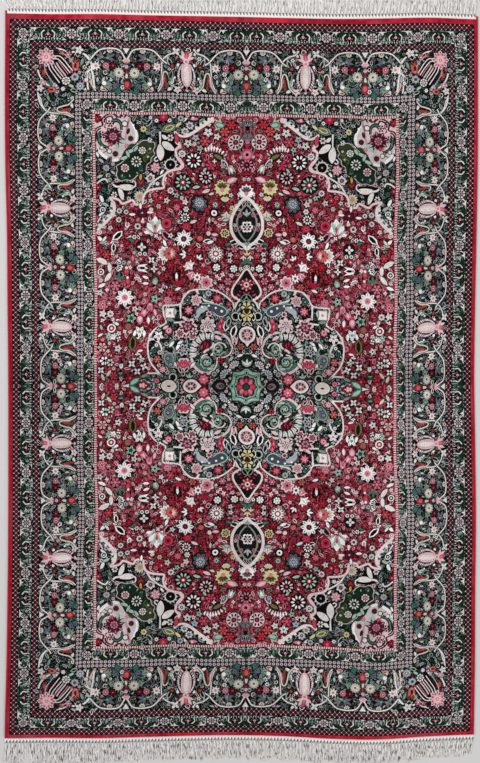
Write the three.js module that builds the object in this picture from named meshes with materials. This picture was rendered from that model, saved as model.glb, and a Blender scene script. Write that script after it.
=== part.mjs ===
// A hand-knotted silk rug lying flat, seen from above with its length along Y.
// The woven rug is one flat solid. Each long side has an overcast edge binding,
// and each end has a narrow woven heading with the knotted warp ends as its fringe.
import * as THREE from 'three';

// Driving sizes, in millimetres
const RUG_WIDTH = 1231; // over both side bindings, where the rug is widest
const RUG_LENGTH = 1886; // over the pile, where the rug is longest
const RUG_THICKNESS = 6; // foundation and pile together
const GAP = 0.3; // left between two pieces that meet

const BINDING_WIDTH = 5;
const BINDING_THICKNESS = 6.4;
const BINDING_ROUNDING = 1.6;
const BINDING_TAIL = 8; // how far a binding runs on past the pile at the top end

const HEADING_WIDTH = 9;
const FRINGE_THICKNESS = 2.8; // of the heading and its locks

const LOCKS_PER_END = 142;
const LOCK_ROOT_WIDTH = 5.6;
const LOCK_MIDDLE_WIDTH = 5.2;
const LOCK_TIP_WIDTH = 3.2;
const LOCK_BEND = 0.38; // share of a lock's drift that it has made halfway out
const LOCK_LENGTH_SPREAD = 5;
const LOCK_TIP_SPREAD = 1.2;

const SIDE_STEPS = 30; // steps of an outline along a long side
const END_STEPS = 30; // steps of an outline along an end

// How uneven the hand-made rug is: how far each edge draws in from the straight
// rectangle. The rows run along an edge from its bottom or left end to its other end.
const EDGE_INSETS = [
  { left: 0.3, right: 10.4, bottom: 3.4, top: 0.0 },
  { left: 4.9, right: 7.8, bottom: 4.4, top: 1.8 },
  { left: 7.8, right: 7.0, bottom: 3.6, top: 1.6 },
  { left: 9.6, right: 5.2, bottom: 6.8, top: 4.7 },
  { left: 9.9, right: 7.0, bottom: 9.9, top: 6.8 },
  { left: 9.6, right: 9.6, bottom: 11.2, top: 9.1 },
  { left: 7.8, right: 7.3, bottom: 8.6, top: 12.0 },
  { left: 6.2, right: 3.6, bottom: 1.8, top: 14.3 },
  { left: 1.8, right: 0.5, bottom: 0.0, top: 13.3 },
  { left: 0.8, right: 0.0, bottom: 7.8, top: 10.9 },
  { left: 2.1, right: 0.0, bottom: 12.7, top: 15.3 },
];

// How the fringe lies along each end, from the left corner to the right one:
// how far its locks reach out, and how far their tips drift towards the right.
const TOP_FRINGE = [
  { reach: 46, drift: -26 },
  { reach: 53, drift: -7 },
  { reach: 54, drift: 3 },
  { reach: 53, drift: -3 },
  { reach: 54, drift: 5 },
  { reach: 52, drift: 1 },
  { reach: 54, drift: 4 },
  { reach: 53, drift: 7 },
  { reach: 52, drift: 3 },
];
const BOTTOM_FRINGE = [
  { reach: 62, drift: -6 },
  { reach: 61, drift: 4 },
  { reach: 55, drift: 6 },
  { reach: 53, drift: 0 },
  { reach: 53, drift: 5 },
  { reach: 54, drift: -1 },
  { reach: 54, drift: 3 },
  { reach: 51, drift: -3 },
  { reach: 43, drift: -8 },
];

// A smooth curve through one named column of evenly spaced table rows, at t from 0 to 1
function readTable(rows, column, t) {
  const last = rows.length - 1;
  const place = THREE.MathUtils.clamp(t, 0, 1) * last;
  const row = Math.min(Math.floor(place), last - 1);
  const f = place - row;
  const at = (i) => rows[THREE.MathUtils.clamp(i, 0, last)][column];
  const startSlope = (at(row + 1) - at(row - 1)) / 2;
  const endSlope = (at(row + 2) - at(row)) / 2;
  const rise = at(row + 1) - at(row);
  const curve = 3 * rise - 2 * startSlope - endSlope;
  const twist = startSlope + endSlope - 2 * rise;
  return at(row) + f * (startSlope + f * (curve + f * twist));
}

// A repeatable scatter from -1 to 1 for lock number i
function scatter(i, kind) {
  const wave = Math.sin(i * 12.9898 + kind * 78.233) * 43758.5453;
  return 2 * (wave - Math.floor(wave)) - 1;
}

const leftX = (v) => -RUG_WIDTH / 2 + readTable(EDGE_INSETS, 'left', v);
const rightX = (v) => RUG_WIDTH / 2 - readTable(EDGE_INSETS, 'right', v);
const bottomY = (u) => -RUG_LENGTH / 2 + readTable(EDGE_INSETS, 'bottom', u);
const topY = (u) => RUG_LENGTH / 2 - readTable(EDGE_INSETS, 'top', u);

// A point of the rug at u across and v up, each from 0 to 1, with its two sides
// drawn in by a margin
function rugPoint(u, v, margin) {
  const x = THREE.MathUtils.lerp(leftX(v) + margin, rightX(v) - margin, u);
  const y = THREE.MathUtils.lerp(bottomY(u), topY(u), v);
  return new THREE.Vector2(x, y);
}

// A flat piece that rests on the floor: its outline, seen from above, made solid
function flatPiece(outline, thickness, rounding = 0) {
  const geometry = new THREE.ExtrudeGeometry(new THREE.Shape(outline), {
    depth: thickness - 2 * rounding,
    steps: 1,
    bevelEnabled: rounding > 0,
    bevelThickness: rounding,
    bevelSize: rounding,
    bevelOffset: -rounding,
    bevelSegments: 1,
  });
  geometry.translate(0, 0, rounding);
  return geometry;
}

// The woven rug, pile and foundation in one
function wovenRug() {
  const margin = BINDING_WIDTH + GAP;
  const outline = [];
  for (let i = 0; i < END_STEPS; i++) {
    outline.push(rugPoint(i / END_STEPS, 0, margin));
  }
  for (let i = 0; i < SIDE_STEPS; i++) {
    outline.push(rugPoint(1, i / SIDE_STEPS, margin));
  }
  for (let i = END_STEPS; i > 0; i--) {
    outline.push(rugPoint(i / END_STEPS, 1, margin));
  }
  for (let i = SIDE_STEPS; i > 0; i--) {
    outline.push(rugPoint(0, i / SIDE_STEPS, margin));
  }
  return flatPiece(outline, RUG_THICKNESS);
}

// One side binding: a rounded cord that follows its edge of the rug. inward is 1
// where the rug lies to its right and -1 where it lies to its left
function sideBinding(edgeX, inward, u) {
  const outer = [];
  const inner = [];
  for (let i = 0; i <= SIDE_STEPS; i++) {
    const v = i / SIDE_STEPS;
    const tail = i === SIDE_STEPS ? BINDING_TAIL : 0;
    const y = rugPoint(u, v, 0).y + tail;
    outer.push(new THREE.Vector2(edgeX(v), y));
    inner.push(new THREE.Vector2(edgeX(v) + inward * BINDING_WIDTH, y));
  }
  return flatPiece([...outer, ...inner.reverse()], BINDING_THICKNESS, BINDING_ROUNDING);
}

// The outline of one lock of the fringe: out along one side, round the tip and back
function lockOutline(i, rootX, rootY, outward, u, lie) {
  const reach = readTable(lie, 'reach', u) + LOCK_LENGTH_SPREAD * scatter(i, 1);
  const drift = readTable(lie, 'drift', u) + LOCK_TIP_SPREAD * scatter(i, 2);
  const stations = [
    { out: 0, side: 0, width: LOCK_ROOT_WIDTH },
    { out: reach / 2, side: drift * LOCK_BEND, width: LOCK_MIDDLE_WIDTH },
    { out: reach, side: drift, width: LOCK_TIP_WIDTH },
  ];
  const leftSide = [];
  const rightSide = [];
  for (const { out, side, width } of stations) {
    const y = rootY + outward * out;
    leftSide.push(new THREE.Vector2(rootX + side - width / 2, y));
    rightSide.push(new THREE.Vector2(rootX + side + width / 2, y));
  }
  return [...leftSide, ...rightSide.reverse()];
}

// The fringe of one end: a woven heading along the pile, with its locks growing out
// of its outer edge. outward is -1 at the bottom end and 1 at the top end
function fringedEnd(edgeY, outward, v, margin, lie) {
  const startX = leftX(v) + margin;
  const endX = rightX(v) - margin;
  const farY = (u) => edgeY(u) + outward * (GAP + HEADING_WIDTH);
  const outline = [new THREE.Vector2(startX, farY(0))];
  for (let i = 0; i < LOCKS_PER_END; i++) {
    const u = (i + 0.5) / LOCKS_PER_END;
    const x = THREE.MathUtils.lerp(startX, endX, u);
    outline.push(...lockOutline(i, x, farY(u), outward, u, lie));
  }
  outline.push(new THREE.Vector2(endX, farY(1)));
  for (let i = END_STEPS; i >= 0; i--) {
    const u = i / END_STEPS;
    const x = THREE.MathUtils.lerp(startX, endX, u);
    outline.push(new THREE.Vector2(x, edgeY(u) + outward * GAP));
  }
  return flatPiece(outline, FRINGE_THICKNESS);
}

const silkPile = { color: 0x7a1a2c, roughness: 0.62, metalness: 0 };
const redYarn = { color: 0xb4182a, roughness: 0.7, metalness: 0 };
const creamYarn = { color: 0xe2ddd6, roughness: 0.85, metalness: 0 };

function piece(name, geometry, finish) {
  const mesh = new THREE.Mesh(geometry, new THREE.MeshStandardMaterial(finish));
  mesh.name = name;
  return mesh;
}

const rug = new THREE.Group();
rug.add(
  piece('woven_rug', wovenRug(), silkPile),
  piece('side_binding_left', sideBinding(leftX, 1, 0), redYarn),
  piece('side_binding_right', sideBinding(rightX, -1, 1), redYarn),
  piece('fringe_top', fringedEnd(topY, 1, 1, BINDING_WIDTH + GAP, TOP_FRINGE), creamYarn),
  piece('fringe_bottom', fringedEnd(bottomY, -1, 0, 0, BOTTOM_FRINGE), creamYarn),
);

// The origin is on the floor, under the middle of the whole rug with its fringes
const middle = new THREE.Box3().setFromObject(rug).getCenter(new THREE.Vector3());
rug.position.set(-middle.x, -middle.y, 0);

export default rug;
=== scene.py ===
# %% [markdown]
# A hand-knotted silk rug, lying flat on a pale floor. The real one is a forest of
# short silk tufts, each tied round a pair of warps, so its picture is made of
# thousands of small patches of dyed silk. An image texture could show that, but
# a maker works from a chart, and so does this script: every flower, leaf and vine
# is an outline on one quarter of the chart, the chart is cut into dyed triangles,
# and the quarter is mirrored twice, as the weavers do.

# %% The frame, and what the script needs
import math
import random
import re

import bmesh
import bpy
import numpy as np
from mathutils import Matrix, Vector
from mathutils.geometry import delaunay_2d_cdt


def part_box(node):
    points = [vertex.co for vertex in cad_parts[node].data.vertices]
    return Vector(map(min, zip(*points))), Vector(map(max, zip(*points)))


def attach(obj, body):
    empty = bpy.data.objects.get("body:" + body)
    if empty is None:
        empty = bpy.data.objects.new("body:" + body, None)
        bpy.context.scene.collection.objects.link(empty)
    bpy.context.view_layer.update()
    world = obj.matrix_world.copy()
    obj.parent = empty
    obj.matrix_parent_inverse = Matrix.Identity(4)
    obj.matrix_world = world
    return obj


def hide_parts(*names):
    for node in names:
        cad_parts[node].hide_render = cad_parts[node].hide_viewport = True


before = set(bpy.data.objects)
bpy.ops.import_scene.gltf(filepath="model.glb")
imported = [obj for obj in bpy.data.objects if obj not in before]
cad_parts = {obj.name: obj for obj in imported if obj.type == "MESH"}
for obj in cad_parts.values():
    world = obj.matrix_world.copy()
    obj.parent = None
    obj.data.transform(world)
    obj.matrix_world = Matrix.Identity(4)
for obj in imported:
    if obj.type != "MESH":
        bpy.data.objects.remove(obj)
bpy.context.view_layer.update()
print("solids:", sorted(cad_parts))

# %% [markdown]
# The sizes are the ones that the solids were built with, in metres here. The edges
# of a hand-made rug are never straight: the insets say how far each edge draws in
# from the plain rectangle, in millimetres, from its bottom or left end onwards.

# %% Sizes of the rug
RUG_WIDTH = 1.231
RUG_LENGTH = 1.886
RUG_THICKNESS = 0.006
GAP = 0.0003
BINDING_WIDTH = 0.005
HEADING_WIDTH = 0.009
MM = 0.001


def table(text):
    """Rows of a text table, a dictionary for each, with numbers as floats."""
    header, *lines = [line.split() for line in text.strip().splitlines()]
    rows = []
    for line in lines:
        values = [float(v) if v.lstrip("-").replace(".", "", 1).isdigit() else v for v in line]
        rows.append(dict(zip(header, values)))
    return rows


EDGE_INSETS = table("""
left right bottom top
0.3  10.4  3.4    0.0
4.9  7.8   4.4    1.8
7.8  7.0   3.6    1.6
9.6  5.2   6.8    4.7
9.9  7.0   9.9    6.8
9.6  9.6   11.2   9.1
7.8  7.3   8.6    12.0
6.2  3.6   1.8    14.3
1.8  0.5   0.0    13.3
0.8  0.0   7.8    10.9
2.1  0.0   12.7   15.3
""")


def read_table(rows, column, t):
    """A smooth curve through one column of evenly spaced rows, at t from 0 to 1."""
    values = np.array([row[column] for row in rows])
    last = len(values) - 1
    place = np.clip(t, 0, 1) * last
    row = np.minimum(np.floor(place).astype(int), last - 1)
    f = place - row
    here, there = values[row], values[row + 1]
    start_slope = (there - values[np.maximum(row - 1, 0)]) / 2
    end_slope = (values[np.minimum(row + 2, last)] - here) / 2
    rise = there - here
    return here + f * (start_slope + f * (3 * rise - 2 * start_slope - end_slope
                                          + f * (start_slope + end_slope - 2 * rise)))


# The solids were moved so that the whole rug, fringes too, is centred on the origin
MIDDLE_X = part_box("side_binding_right")[1].x - RUG_WIDTH / 2
MIDDLE_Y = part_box("woven_rug")[0].y + RUG_LENGTH / 2


def left_x(v):
    return MIDDLE_X - RUG_WIDTH / 2 + MM * read_table(EDGE_INSETS, "left", v)


def right_x(v):
    return MIDDLE_X + RUG_WIDTH / 2 - MM * read_table(EDGE_INSETS, "right", v)


def bottom_y(u):
    return MIDDLE_Y - RUG_LENGTH / 2 + MM * read_table(EDGE_INSETS, "bottom", u)


def top_y(u):
    return MIDDLE_Y + RUG_LENGTH / 2 - MM * read_table(EDGE_INSETS, "top", u)


print("middle of the pile:", round(MIDDLE_X, 4), round(MIDDLE_Y, 4))

# %% [markdown]
# The camera comes next, straight above, as the photograph was taken. It is far off
# with a long lens, so the rug keeps its rectangle. The frame is taller than wide,
# and the rug fills it: the top fringe runs out of the picture.

# %% Camera
SQUARE = 0.0026
FRAME_PIXELS = (480, 763)
FRAME_MIDDLE = (MIDDLE_X - 1.2 * SQUARE, MIDDLE_Y - 5.05 * SQUARE)
CAMERA_HEIGHT = 6.0


def add_object(name, data):
    """A new object, put in the scene."""
    thing = bpy.data.objects.new(name, data)
    bpy.context.scene.collection.objects.link(thing)
    return thing


camera_data = bpy.data.cameras.new("camera")
camera_data.sensor_fit = "VERTICAL"
camera_data.sensor_height = 24.0
camera_data.lens = camera_data.sensor_height * CAMERA_HEIGHT / (FRAME_PIXELS[1] * SQUARE)
camera = add_object("camera", camera_data)
camera.location = (*FRAME_MIDDLE, CAMERA_HEIGHT)
bpy.context.scene.camera = camera
print("lens:", round(camera_data.lens, 1), "mm")

# %% [markdown]
# The chart is counted in squares of 2.6 mm, across and down. One square is about
# two knots. Only the upper left quarter is drawn: the pile's corner is at (5, 14.2)
# and the middle of the rug at (246.5, 386). Points are complex numbers, across plus
# down times 1j, because then a turn is one multiplication and an outline is one
# numpy array. The bands are the borders, from the outside in, with their widths on
# all four sides of the rug: hand work made the right and bottom ones narrower.

# %% The chart and its bands
MIDDLE = 246.5 + 386j
CORNER = 5 + 14.2j

BANDS = table("""
name     left  top   right bottom ground
binding  2.04  0.0   2.04  0.0    none
edge     2.56  5.3   1.86  3.3    red
guard    7.4   7.5   6.9   6.5    net
minor    12.8  13.5  12.5  10.5   thicket
guard2   7.2   6.5   6.0   7.5    net
main     38.0  45.0  33.5  42.5   night
rings    6.5   6.7   7.5   7.5    rings
minor2   11.1  13.0  9.0   11.5   thicket
beads    2.4   2.3   2.6   2.0    beads
field    151.5 272.0 148.9 260.0  meadow
""")

band_start = {}
reach = CORNER
for band in BANDS:
    band_start[band["name"]] = reach
    reach += complex(band["left"], band["top"])
print("bands start at", band_start, "and end at", reach)

# %% [markdown]
# The dyes, by name. A few names stand for a ground that the finish of the silk
# works out from the chart itself, such as the net of the guard stripes.

# %% Dyes
DYES = dict(line.split() for line in """
red B5162A
scarlet C23040
crimson 9A1830
ruby 7A1226
rose B83E58
pink C77A8B
blush DDBFC1
wine 5E1020
maroon 3E1024
plum 4C2038
ivory DCD6D2
snow E9E6E3
white F4F2F0
cream CFC6BB
straw CFC592
gold B99C48
olive 69643A
coral BC6152
brick 96382A
umber 32241C
sage 7A8C80
mint A2B8AB
aqua 78AD99
jade 3B6A5B
moss 184630
pine 10281B
laurel 2E3A20
slate 59606C
steel 414853
pearl C6BBBC
mauve B29098
mist A9ADB0
stone 6F686C
ink 060405
coal 151113
night 0A0809
thicket 2B3A34
meadow 8A2235
madder 8E2236
lac 6E1628
net 16080E
guard_red 420F1B
rings 5E585C
beads 6A2032
none 000000
""".strip().splitlines())
GROUNDS = ["none", "meadow", "night", "thicket", "net", "rings", "beads", "red"]
DYE_NAMES = list(DYES)


def linear(hex_code):
    """A web colour as linear red, green and blue."""
    values = np.array([int(hex_code[i:i + 2], 16) / 255 for i in (0, 2, 4)])
    return np.where(values <= 0.04045, values / 12.92, ((values + 0.055) / 1.055) ** 2.4)


DYE_COLOURS = np.array([linear(code) for code in DYES.values()])
print(len(DYES), "dyes")

# %% [markdown]
# Drawing is painting over: each outline is laid on top of the ones before it. A
# painter puts outlines on the chart through a local frame, so a border unit is
# drawn once, lying along the border, and then placed along the top or the side.

# %% Painting on the chart
chart = []


def painter(origin=0j, along=1 + 0j, inward=1j):
    def paint(dye, outline):
        z = np.asarray(outline, dtype=complex)
        chart.append((dye, origin + z.real * along + z.imag * inward))
    return paint


def points(text):
    """'x,y x,y ...' as complex numbers."""
    return np.array([complex(*map(float, pair.split(","))) for pair in text.split()])


def smooth(path, steps=4, closed=False):
    """A flowing line through given points."""
    path = np.asarray(path, dtype=complex)
    if closed:
        path = np.concatenate([path[-1:], path, path[:2]])
    else:
        path = np.concatenate([[2 * path[0] - path[1]], path, [2 * path[-1] - path[-2]]])
    flowing = []
    for a, b, c, d in zip(path, path[1:], path[2:], path[3:]):
        for t in np.arange(steps) / steps:
            flowing.append(0.5 * (2 * b + (c - a) * t + (2 * a - 5 * b + 4 * c - d) * t ** 2
                                  + (3 * b - a - 3 * c + d) * t ** 3))
    return np.array(flowing if closed else flowing + [path[-2]])


def ribbon(path, width, tip=1.0, steps=4):
    """The outline of a vine: a band of that width along a flowing line."""
    line = smooth(path, steps)
    heading = np.gradient(line)
    side = 1j * heading / np.maximum(np.abs(heading), 1e-9)
    half = width / 2 * np.linspace(1, tip, len(line))
    return np.concatenate([line + side * half, (line - side * half)[::-1]])


def inside(outline, spots):
    """Which spots lie inside an outline, by counting the edges to their right."""
    a = outline[:, None]
    b = np.roll(outline, -1)[:, None]
    crosses = (a.imag > spots.imag) != (b.imag > spots.imag)
    rise = np.where(crosses, b.imag - a.imag, 1.0)
    where = a.real + (spots.imag - a.imag) * (b.real - a.real) / rise
    return (np.sum(crosses & (where > spots.real), axis=0) % 2).astype(bool)


# %% [markdown]
# The motifs are drawn at unit size. Round ones sit on the origin, and leaves grow
# from it along the x axis. Each is a list of layers, and each layer is the number
# of the dye it takes and its outline, so one flower serves in many colours.

# %% Outlines that the motifs share
def disc(n=10, r=1.0):
    return r * np.exp(2j * np.pi * np.arange(n) / n)


def lobes(n, depth=0.22, per=4):
    k = np.arange(n * per)
    wave = np.abs(np.sin(np.pi * k / per))
    return (1 - depth + depth * wave) * np.exp(2j * np.pi * k / (n * per))


def spikes(n, inner=0.5):
    k = np.arange(2 * n)
    return np.where(k % 2, inner, 1.0) * np.exp(1j * np.pi * k / n)


def blade(length=1.0, width=0.4, bend=0.0):
    x = length * np.array([0, 0.28, 0.68, 1, 0.68, 0.28])
    y = width * np.array([0, 0.42, 0.44, 0, -0.44, -0.42])
    return x + 1j * (y + bend * x * x / length)


def spokes(slot, n, inner, outer, width, turn=0.0, spread=2 * np.pi):
    steps = n if spread > 6 else n - 1
    angles = turn + spread * (np.arange(n) / steps - (0 if spread > 6 else 0.5))
    return [(slot, (inner + blade(outer - inner, width)) * np.exp(1j * a)) for a in angles]


def slits(slot, n, inner, outer, width, turn=0.0):
    """Spokes of four points each: small ones, or the dark line down every petal."""
    return [(slot, petal[[0, 2, 3, 4]]) for _, petal in spokes(slot, n, inner, outer, width, turn)]


def spiral(width, turns=1.2):
    """A thin curl, from its outer end on the unit circle inwards."""
    t = np.linspace(0, 1, 10)
    line = (1 - 0.72 * t) * np.exp(2j * np.pi * turns * t)
    return np.concatenate([line * (1 + width * (1 - 0.4 * t)), (line * (1 - width))[::-1]])


def both_sides(text):
    """A shape from the points of one side, from the middle line to the middle line."""
    side = points(text)
    return np.concatenate([side, np.conj(side)[-2:0:-1]])


def half_lobes(n, depth=0.2, spread=2.6, base=0.25):
    """A fan: lobes over part of a circle, closed through a narrow base."""
    k = np.arange(4 * n + 1)
    wave = np.abs(np.sin(np.pi * k / 4))
    rim = (1 - depth + depth * wave) * np.exp(1j * spread * (k / (4 * n) - 0.5))
    return np.concatenate([rim, [base * 1j * 0.6 - base, -base * 1j * 0.6 - base]])


print("a round of ten petals has", len(lobes(10)), "points")

# %% [markdown]
# On a real rug the same few flowers come back everywhere, in other colours and sizes.
# So each is listed once, by a plain name, from its lowest layer to its highest.

# %% The motifs
MOTIFS = {
    "dot": [(0, disc(6))],
    "oval": [(0, disc(16))],
    "aster": [*slits(0, 9, 0.4, 1, 0.5), (1, disc(10, 0.44)), (2, disc(8, 0.3)),
              (1, disc(6, 0.14))],
    "tick": [(0, blade(1, 0.5)[[0, 2, 3, 4]])],
    "button": [(0, disc(9)), (1, disc(6, 0.5))],
    "ringlet": [(0, disc(10)), (1, disc(9, 0.7)), (2, disc(5, 0.32))],
    "blob": [*slits(0, 6, 0.2, 1, 0.7), (1, disc(5, 0.3))],
    "curl": [(0, spiral(0.16))],
    "starlet": [(0, spikes(8, 0.5)), (1, disc(5, 0.32))],
    "star5": [*spokes(0, 5, 0.12, 1, 0.62), *slits(1, 5, 0.4, 0.86, 0.2), (1, disc(5, 0.26))],
    "cross": [*spokes(0, 4, 0.05, 1, 0.6), (1, disc(4, 0.22))],
    "daisy": [*spokes(0, 8, 0.2, 1, 0.5), *slits(1, 8, 0.5, 0.9, 0.16), (1, disc(7, 0.34)),
              (2, disc(4, 0.15))],
    "petals": [*slits(0, 8, 0.4, 1, 0.66), (0, disc(8, 0.34)), (1, disc(8, 0.24)),
               (2, disc(4, 0.15))],
    "peony": [*spokes(0, 7, 0.3, 1, 0.6), *spokes(1, 7, 0.3, 0.72, 0.34), (2, disc(8, 0.4)),
              *slits(3, 6, 0.1, 0.38, 0.3), (1, disc(5, 0.12))],
    "wheel": [(0, disc(14)), *spokes(1, 10, 0.4, 0.94, 0.26), (2, disc(8, 0.36)), (3, disc(5, 0.17))],
    "rosette": [*spokes(0, 8, 0.26, 1, 0.54), *slits(1, 8, 0.5, 0.92, 0.18), (1, disc(8, 0.42)),
                (2, disc(5, 0.2))],
    "sun": [(0, spikes(12, 0.7)), *spokes(1, 12, 0.45, 0.95, 0.16), (2, disc(8, 0.42)),
            (3, disc(6, 0.24))],
    "bloom": [(0, lobes(7, 0.28)), (1, lobes(7, 0.3, 3) * 0.72), *spokes(2, 7, 0.1, 0.55, 0.14),
              (3, disc(5, 0.2))],
    "leaf": [(0, blade(1, 0.42, 0.12))],
    "vein": [(0, blade(1, 0.52, 0.12)), (1, 0.1 + blade(0.78, 0.3, 0.1))],
    "spray": [(0, blade(1, 0.34)), (0, blade(0.85, 0.32) * np.exp(0.8j)),
              (0, blade(0.85, 0.32) * np.exp(-0.8j)), (1, disc(5, 0.16))],
    "bud": [(0, blade(1, 0.72) - 0.5), (1, blade(0.66, 0.42) - 0.4), (2, disc(5, 0.2) - 0.5)],
    "fan": [(0, half_lobes(6)), (1, half_lobes(6) * 0.76), *spokes(2, 5, 0.15, 0.7, 0.1, 0, 2.0),
            (3, disc(6, 0.26) - 0.2)],
    "tulip": [(0, both_sides("-0.9,0 -0.6,0.5 0.2,0.62 1,0.72 0.45,0.3 1.05,0")),
              (1, blade(1.3, 0.5) - 0.6), (2, disc(6, 0.24) - 0.55)],
    "lotus": [(0, spikes(11, 0.74)), (1, half_lobes(5) * 0.72), *spokes(2, 5, 0.1, 0.6, 0.12, 0, 2.2),
              (3, disc(6, 0.28) - 0.22)],
    "frond": [(0, both_sides("0,0 0.2,0.35 0.05,0.6 0.45,0.45 0.6,0.75 0.75,0.3 1.1,0")),
              *spokes(1, 3, 0.1, 0.85, 0.09, 0, 1.5)],
    "boteh": [(0, points("""-1,0 -0.82,0.42 -0.35,0.6 0.2,0.46 0.62,0.1 0.8,-0.35 0.62,-0.62
                         0.42,-0.4 0.1,-0.42 -0.35,-0.58 -0.82,-0.4"""))],
    "square": [(0, points("-1,-1 1,-1 1,1 -1,1") * 0.8), (1, lobes(4, 0.3, 4) * 0.85),
               (2, disc(4, 0.3))],
}
drop = MOTIFS["boteh"][0][1]
MOTIFS["boteh"] += [(1, drop * 0.74 - 0.06), (2, drop * 0.44 - 0.16), (3, disc(5, 0.14) - 0.32)]
for n in (10, 14, 18):
    MOTIFS[f"round{n}"] = [(0, disc(n))]
print(len(MOTIFS), "motifs with", sum(len(o) for m in MOTIFS.values() for _, o in m), "points")

# %% [markdown]
# A weaver parts a flower from its neighbours with a line of dark knots. Here that
# halo is the flower's outline pushed out a little, or a plainer shape where the
# outline is in many pieces. The smallest motifs have none.

# %% Stamping motifs on the chart
HALO_WIDTH = 0.75
HALOES = {
    "star5": lobes(5, 0.3), "cross": lobes(4, 0.35), "daisy": lobes(8, 0.2), "petals": disc(12),
    "peony": lobes(7, 0.2), "blob": lobes(6, 0.15, 3), "rosette": lobes(8, 0.15, 3),
    "spray": blade(1.05, 0.9), "aster": disc(9), "dot": None, "tick": None, "curl": None}


def grown(outline, amount):
    """An outline pushed out from its middle."""
    out = outline - outline.mean()
    return outline + amount * out / np.maximum(np.abs(out), 1e-9)


def stamp(paint, motif, at, size, turn, dyes, slim=1.0, halo=""):
    """Puts a motif on the chart: its place, size and turn, and its dyes from slot 0 on."""
    names = dyes.split("/")
    spin = np.exp(1j * math.radians(turn))
    around = HALOES.get(motif, MOTIFS[motif][0][1])
    if halo and around is not None:
        shape = around.real + 1j * around.imag * slim
        paint(halo, at + spin * grown(size * shape, HALO_WIDTH))
    for slot, outline in MOTIFS[motif]:
        shape = outline.real + 1j * outline.imag * slim
        paint(names[min(slot, len(names) - 1)], at + size * shape * spin)


def edging(path, width):
    """A line all round a region."""
    around = smooth(path, 3, True)
    return ribbon(np.append(around, around[0]), width, 1.0, 1)


def region(path):
    """A shape with flowing edges."""
    return smooth(path, 3, True)


STROKES = {"patch": np.array, "region": region, "vine": ribbon, "edging": edging}


def draw(text, halo="", paint=painter(), shift=0.0):
    """Draws a list of lines. A motif's line gives its place, size, turn, dyes and, if it has
    one, its slimness. A stroke's line gives its dye, path, width and taper. A line that
    begins with a number goes on with the line before it."""
    for line in re.split(r"\n(?=[a-z])", text.strip()):
        kind, *words = line.split()
        if kind in STROKES:
            path = shift + points(" ".join(word for word in words if "," in word))
            numbers = [float(word) for word in words[1:] if "," not in word]
            paint(words[0], STROKES[kind](path, *numbers))
        else:
            x, y, size, turn = map(float, words[:4])
            slim = float(words[5]) if len(words) > 5 else 1.0
            stamp(paint, kind, complex(shift + x, y), size, turn, words[4], slim, halo)


paint = painter()
print("motifs without a halo:", [name for name, halo in HALOES.items() if halo is None])

# %% [markdown]
# The bands are nested rectangles. Each covers all that the next one doesn't.

# %% Grounds of the bands
STEP = 12.0


def stations(low, high):
    """Two ends and the multiples of a step between them, so neighbours share their points."""
    return np.unique([low, *np.arange(np.ceil(low / STEP) * STEP, high, STEP), high])


def block(low, high):
    """A rectangle of the chart, with points along its edges for the rug's waves."""
    across, down = stations(low.real, high.real), stations(low.imag, high.imag)
    top = across[:-1] + 1j * low.imag
    right = high.real + 1j * down[:-1]
    bottom = across[:0:-1] + 1j * high.imag
    left = low.real + 1j * down[:0:-1]
    return np.concatenate([top, right, bottom, left])


def quarter(start):
    """The chart quarter inward of a point."""
    return block(start, MIDDLE)


for band in BANDS[1:]:
    paint(band["ground"], quarter(band_start[band["name"]]))
BAND_GROUNDS = len(chart)
print("grounds:", [band["ground"] for band in BANDS[1:]])

# %% [markdown]
# A weaver leaves no place bare: small leaves, curls and flowers crowd between the
# drawn ones. A spot is tried at random, always in the same order, and it is taken
# if it keeps clear of all that has been drawn. The new outlines go into the chart
# right after its grounds, so they never hide a vine or a flower.

# %% Filling the gaps
LARGE = 14.0
CLEAR = 0.5


def taken_places(first):
    """The middles and radii of the outlines drawn so far, without the large ones."""
    drawn = [outline for _, outline in chart[first:]]
    middles = np.array([(o.real.min() + o.real.max() + 1j * (o.imag.min() + o.imag.max())) / 2
                        for o in drawn])
    radii = np.array([np.abs(o - m).max() for o, m in zip(drawn, middles)])
    small = radii < LARGE
    return list(middles[small]), list(radii[small] * CLEAR)


def fill_gaps(grounds, within, without, tries, kinds, seed):
    """Puts kinds, rows of a motif, its smallest and largest size and its dyes, above the grounds."""
    draw = random.Random(seed)
    low = min(within.real) + 1j * min(within.imag)
    high = max(within.real) + 1j * max(within.imag)
    spots = np.array([complex(draw.uniform(low.real, high.real), draw.uniform(low.imag, high.imag))
                      for _ in range(tries)])
    keep = inside(within, spots)
    for outline in without:
        keep &= ~inside(outline, spots)
    middles, radii = taken_places(grounds)
    rows = table(kinds)
    drawn = chart[grounds:]
    del chart[grounds:]
    added = 0
    for spot in spots[keep]:
        row = draw.choice(rows)
        size = draw.uniform(row["small"], row["large"])
        turn = draw.uniform(0, 360)
        leafy = row["motif"] in ("leaf", "vein", "tick")
        middle = spot + (size / 2 * np.exp(1j * math.radians(turn)) if leafy else 0)
        room = size * (0.36 if leafy else 0.9)
        if np.all(np.abs(np.array(middles) - middle) > np.array(radii) + room):
            stamp(painter(), row["motif"], spot, size, turn, row["dyes"])
            middles.append(middle)
            radii.append(room)
            added += 1
    chart.extend(drawn)
    return added


BLACK_KINDS = """
motif small large dyes
blob 1.6 2.6 snow/ink
blob 1.6 2.6 blush/wine
curl 2.0 3.2 mist
curl 2.0 3.2 ivory
curl 2.0 3.2 sage
vein 4.0 7.0 ivory/coal
vein 4.0 7.0 mist/ink
vein 4.0 7.0 mist/jade
vein 4.0 7.0 sage/pine
vein 4.0 7.0 stone/coal
vein 4.0 7.0 stone/moss
leaf 3.5 5.5 mist
leaf 3.5 5.5 jade
"""

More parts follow.
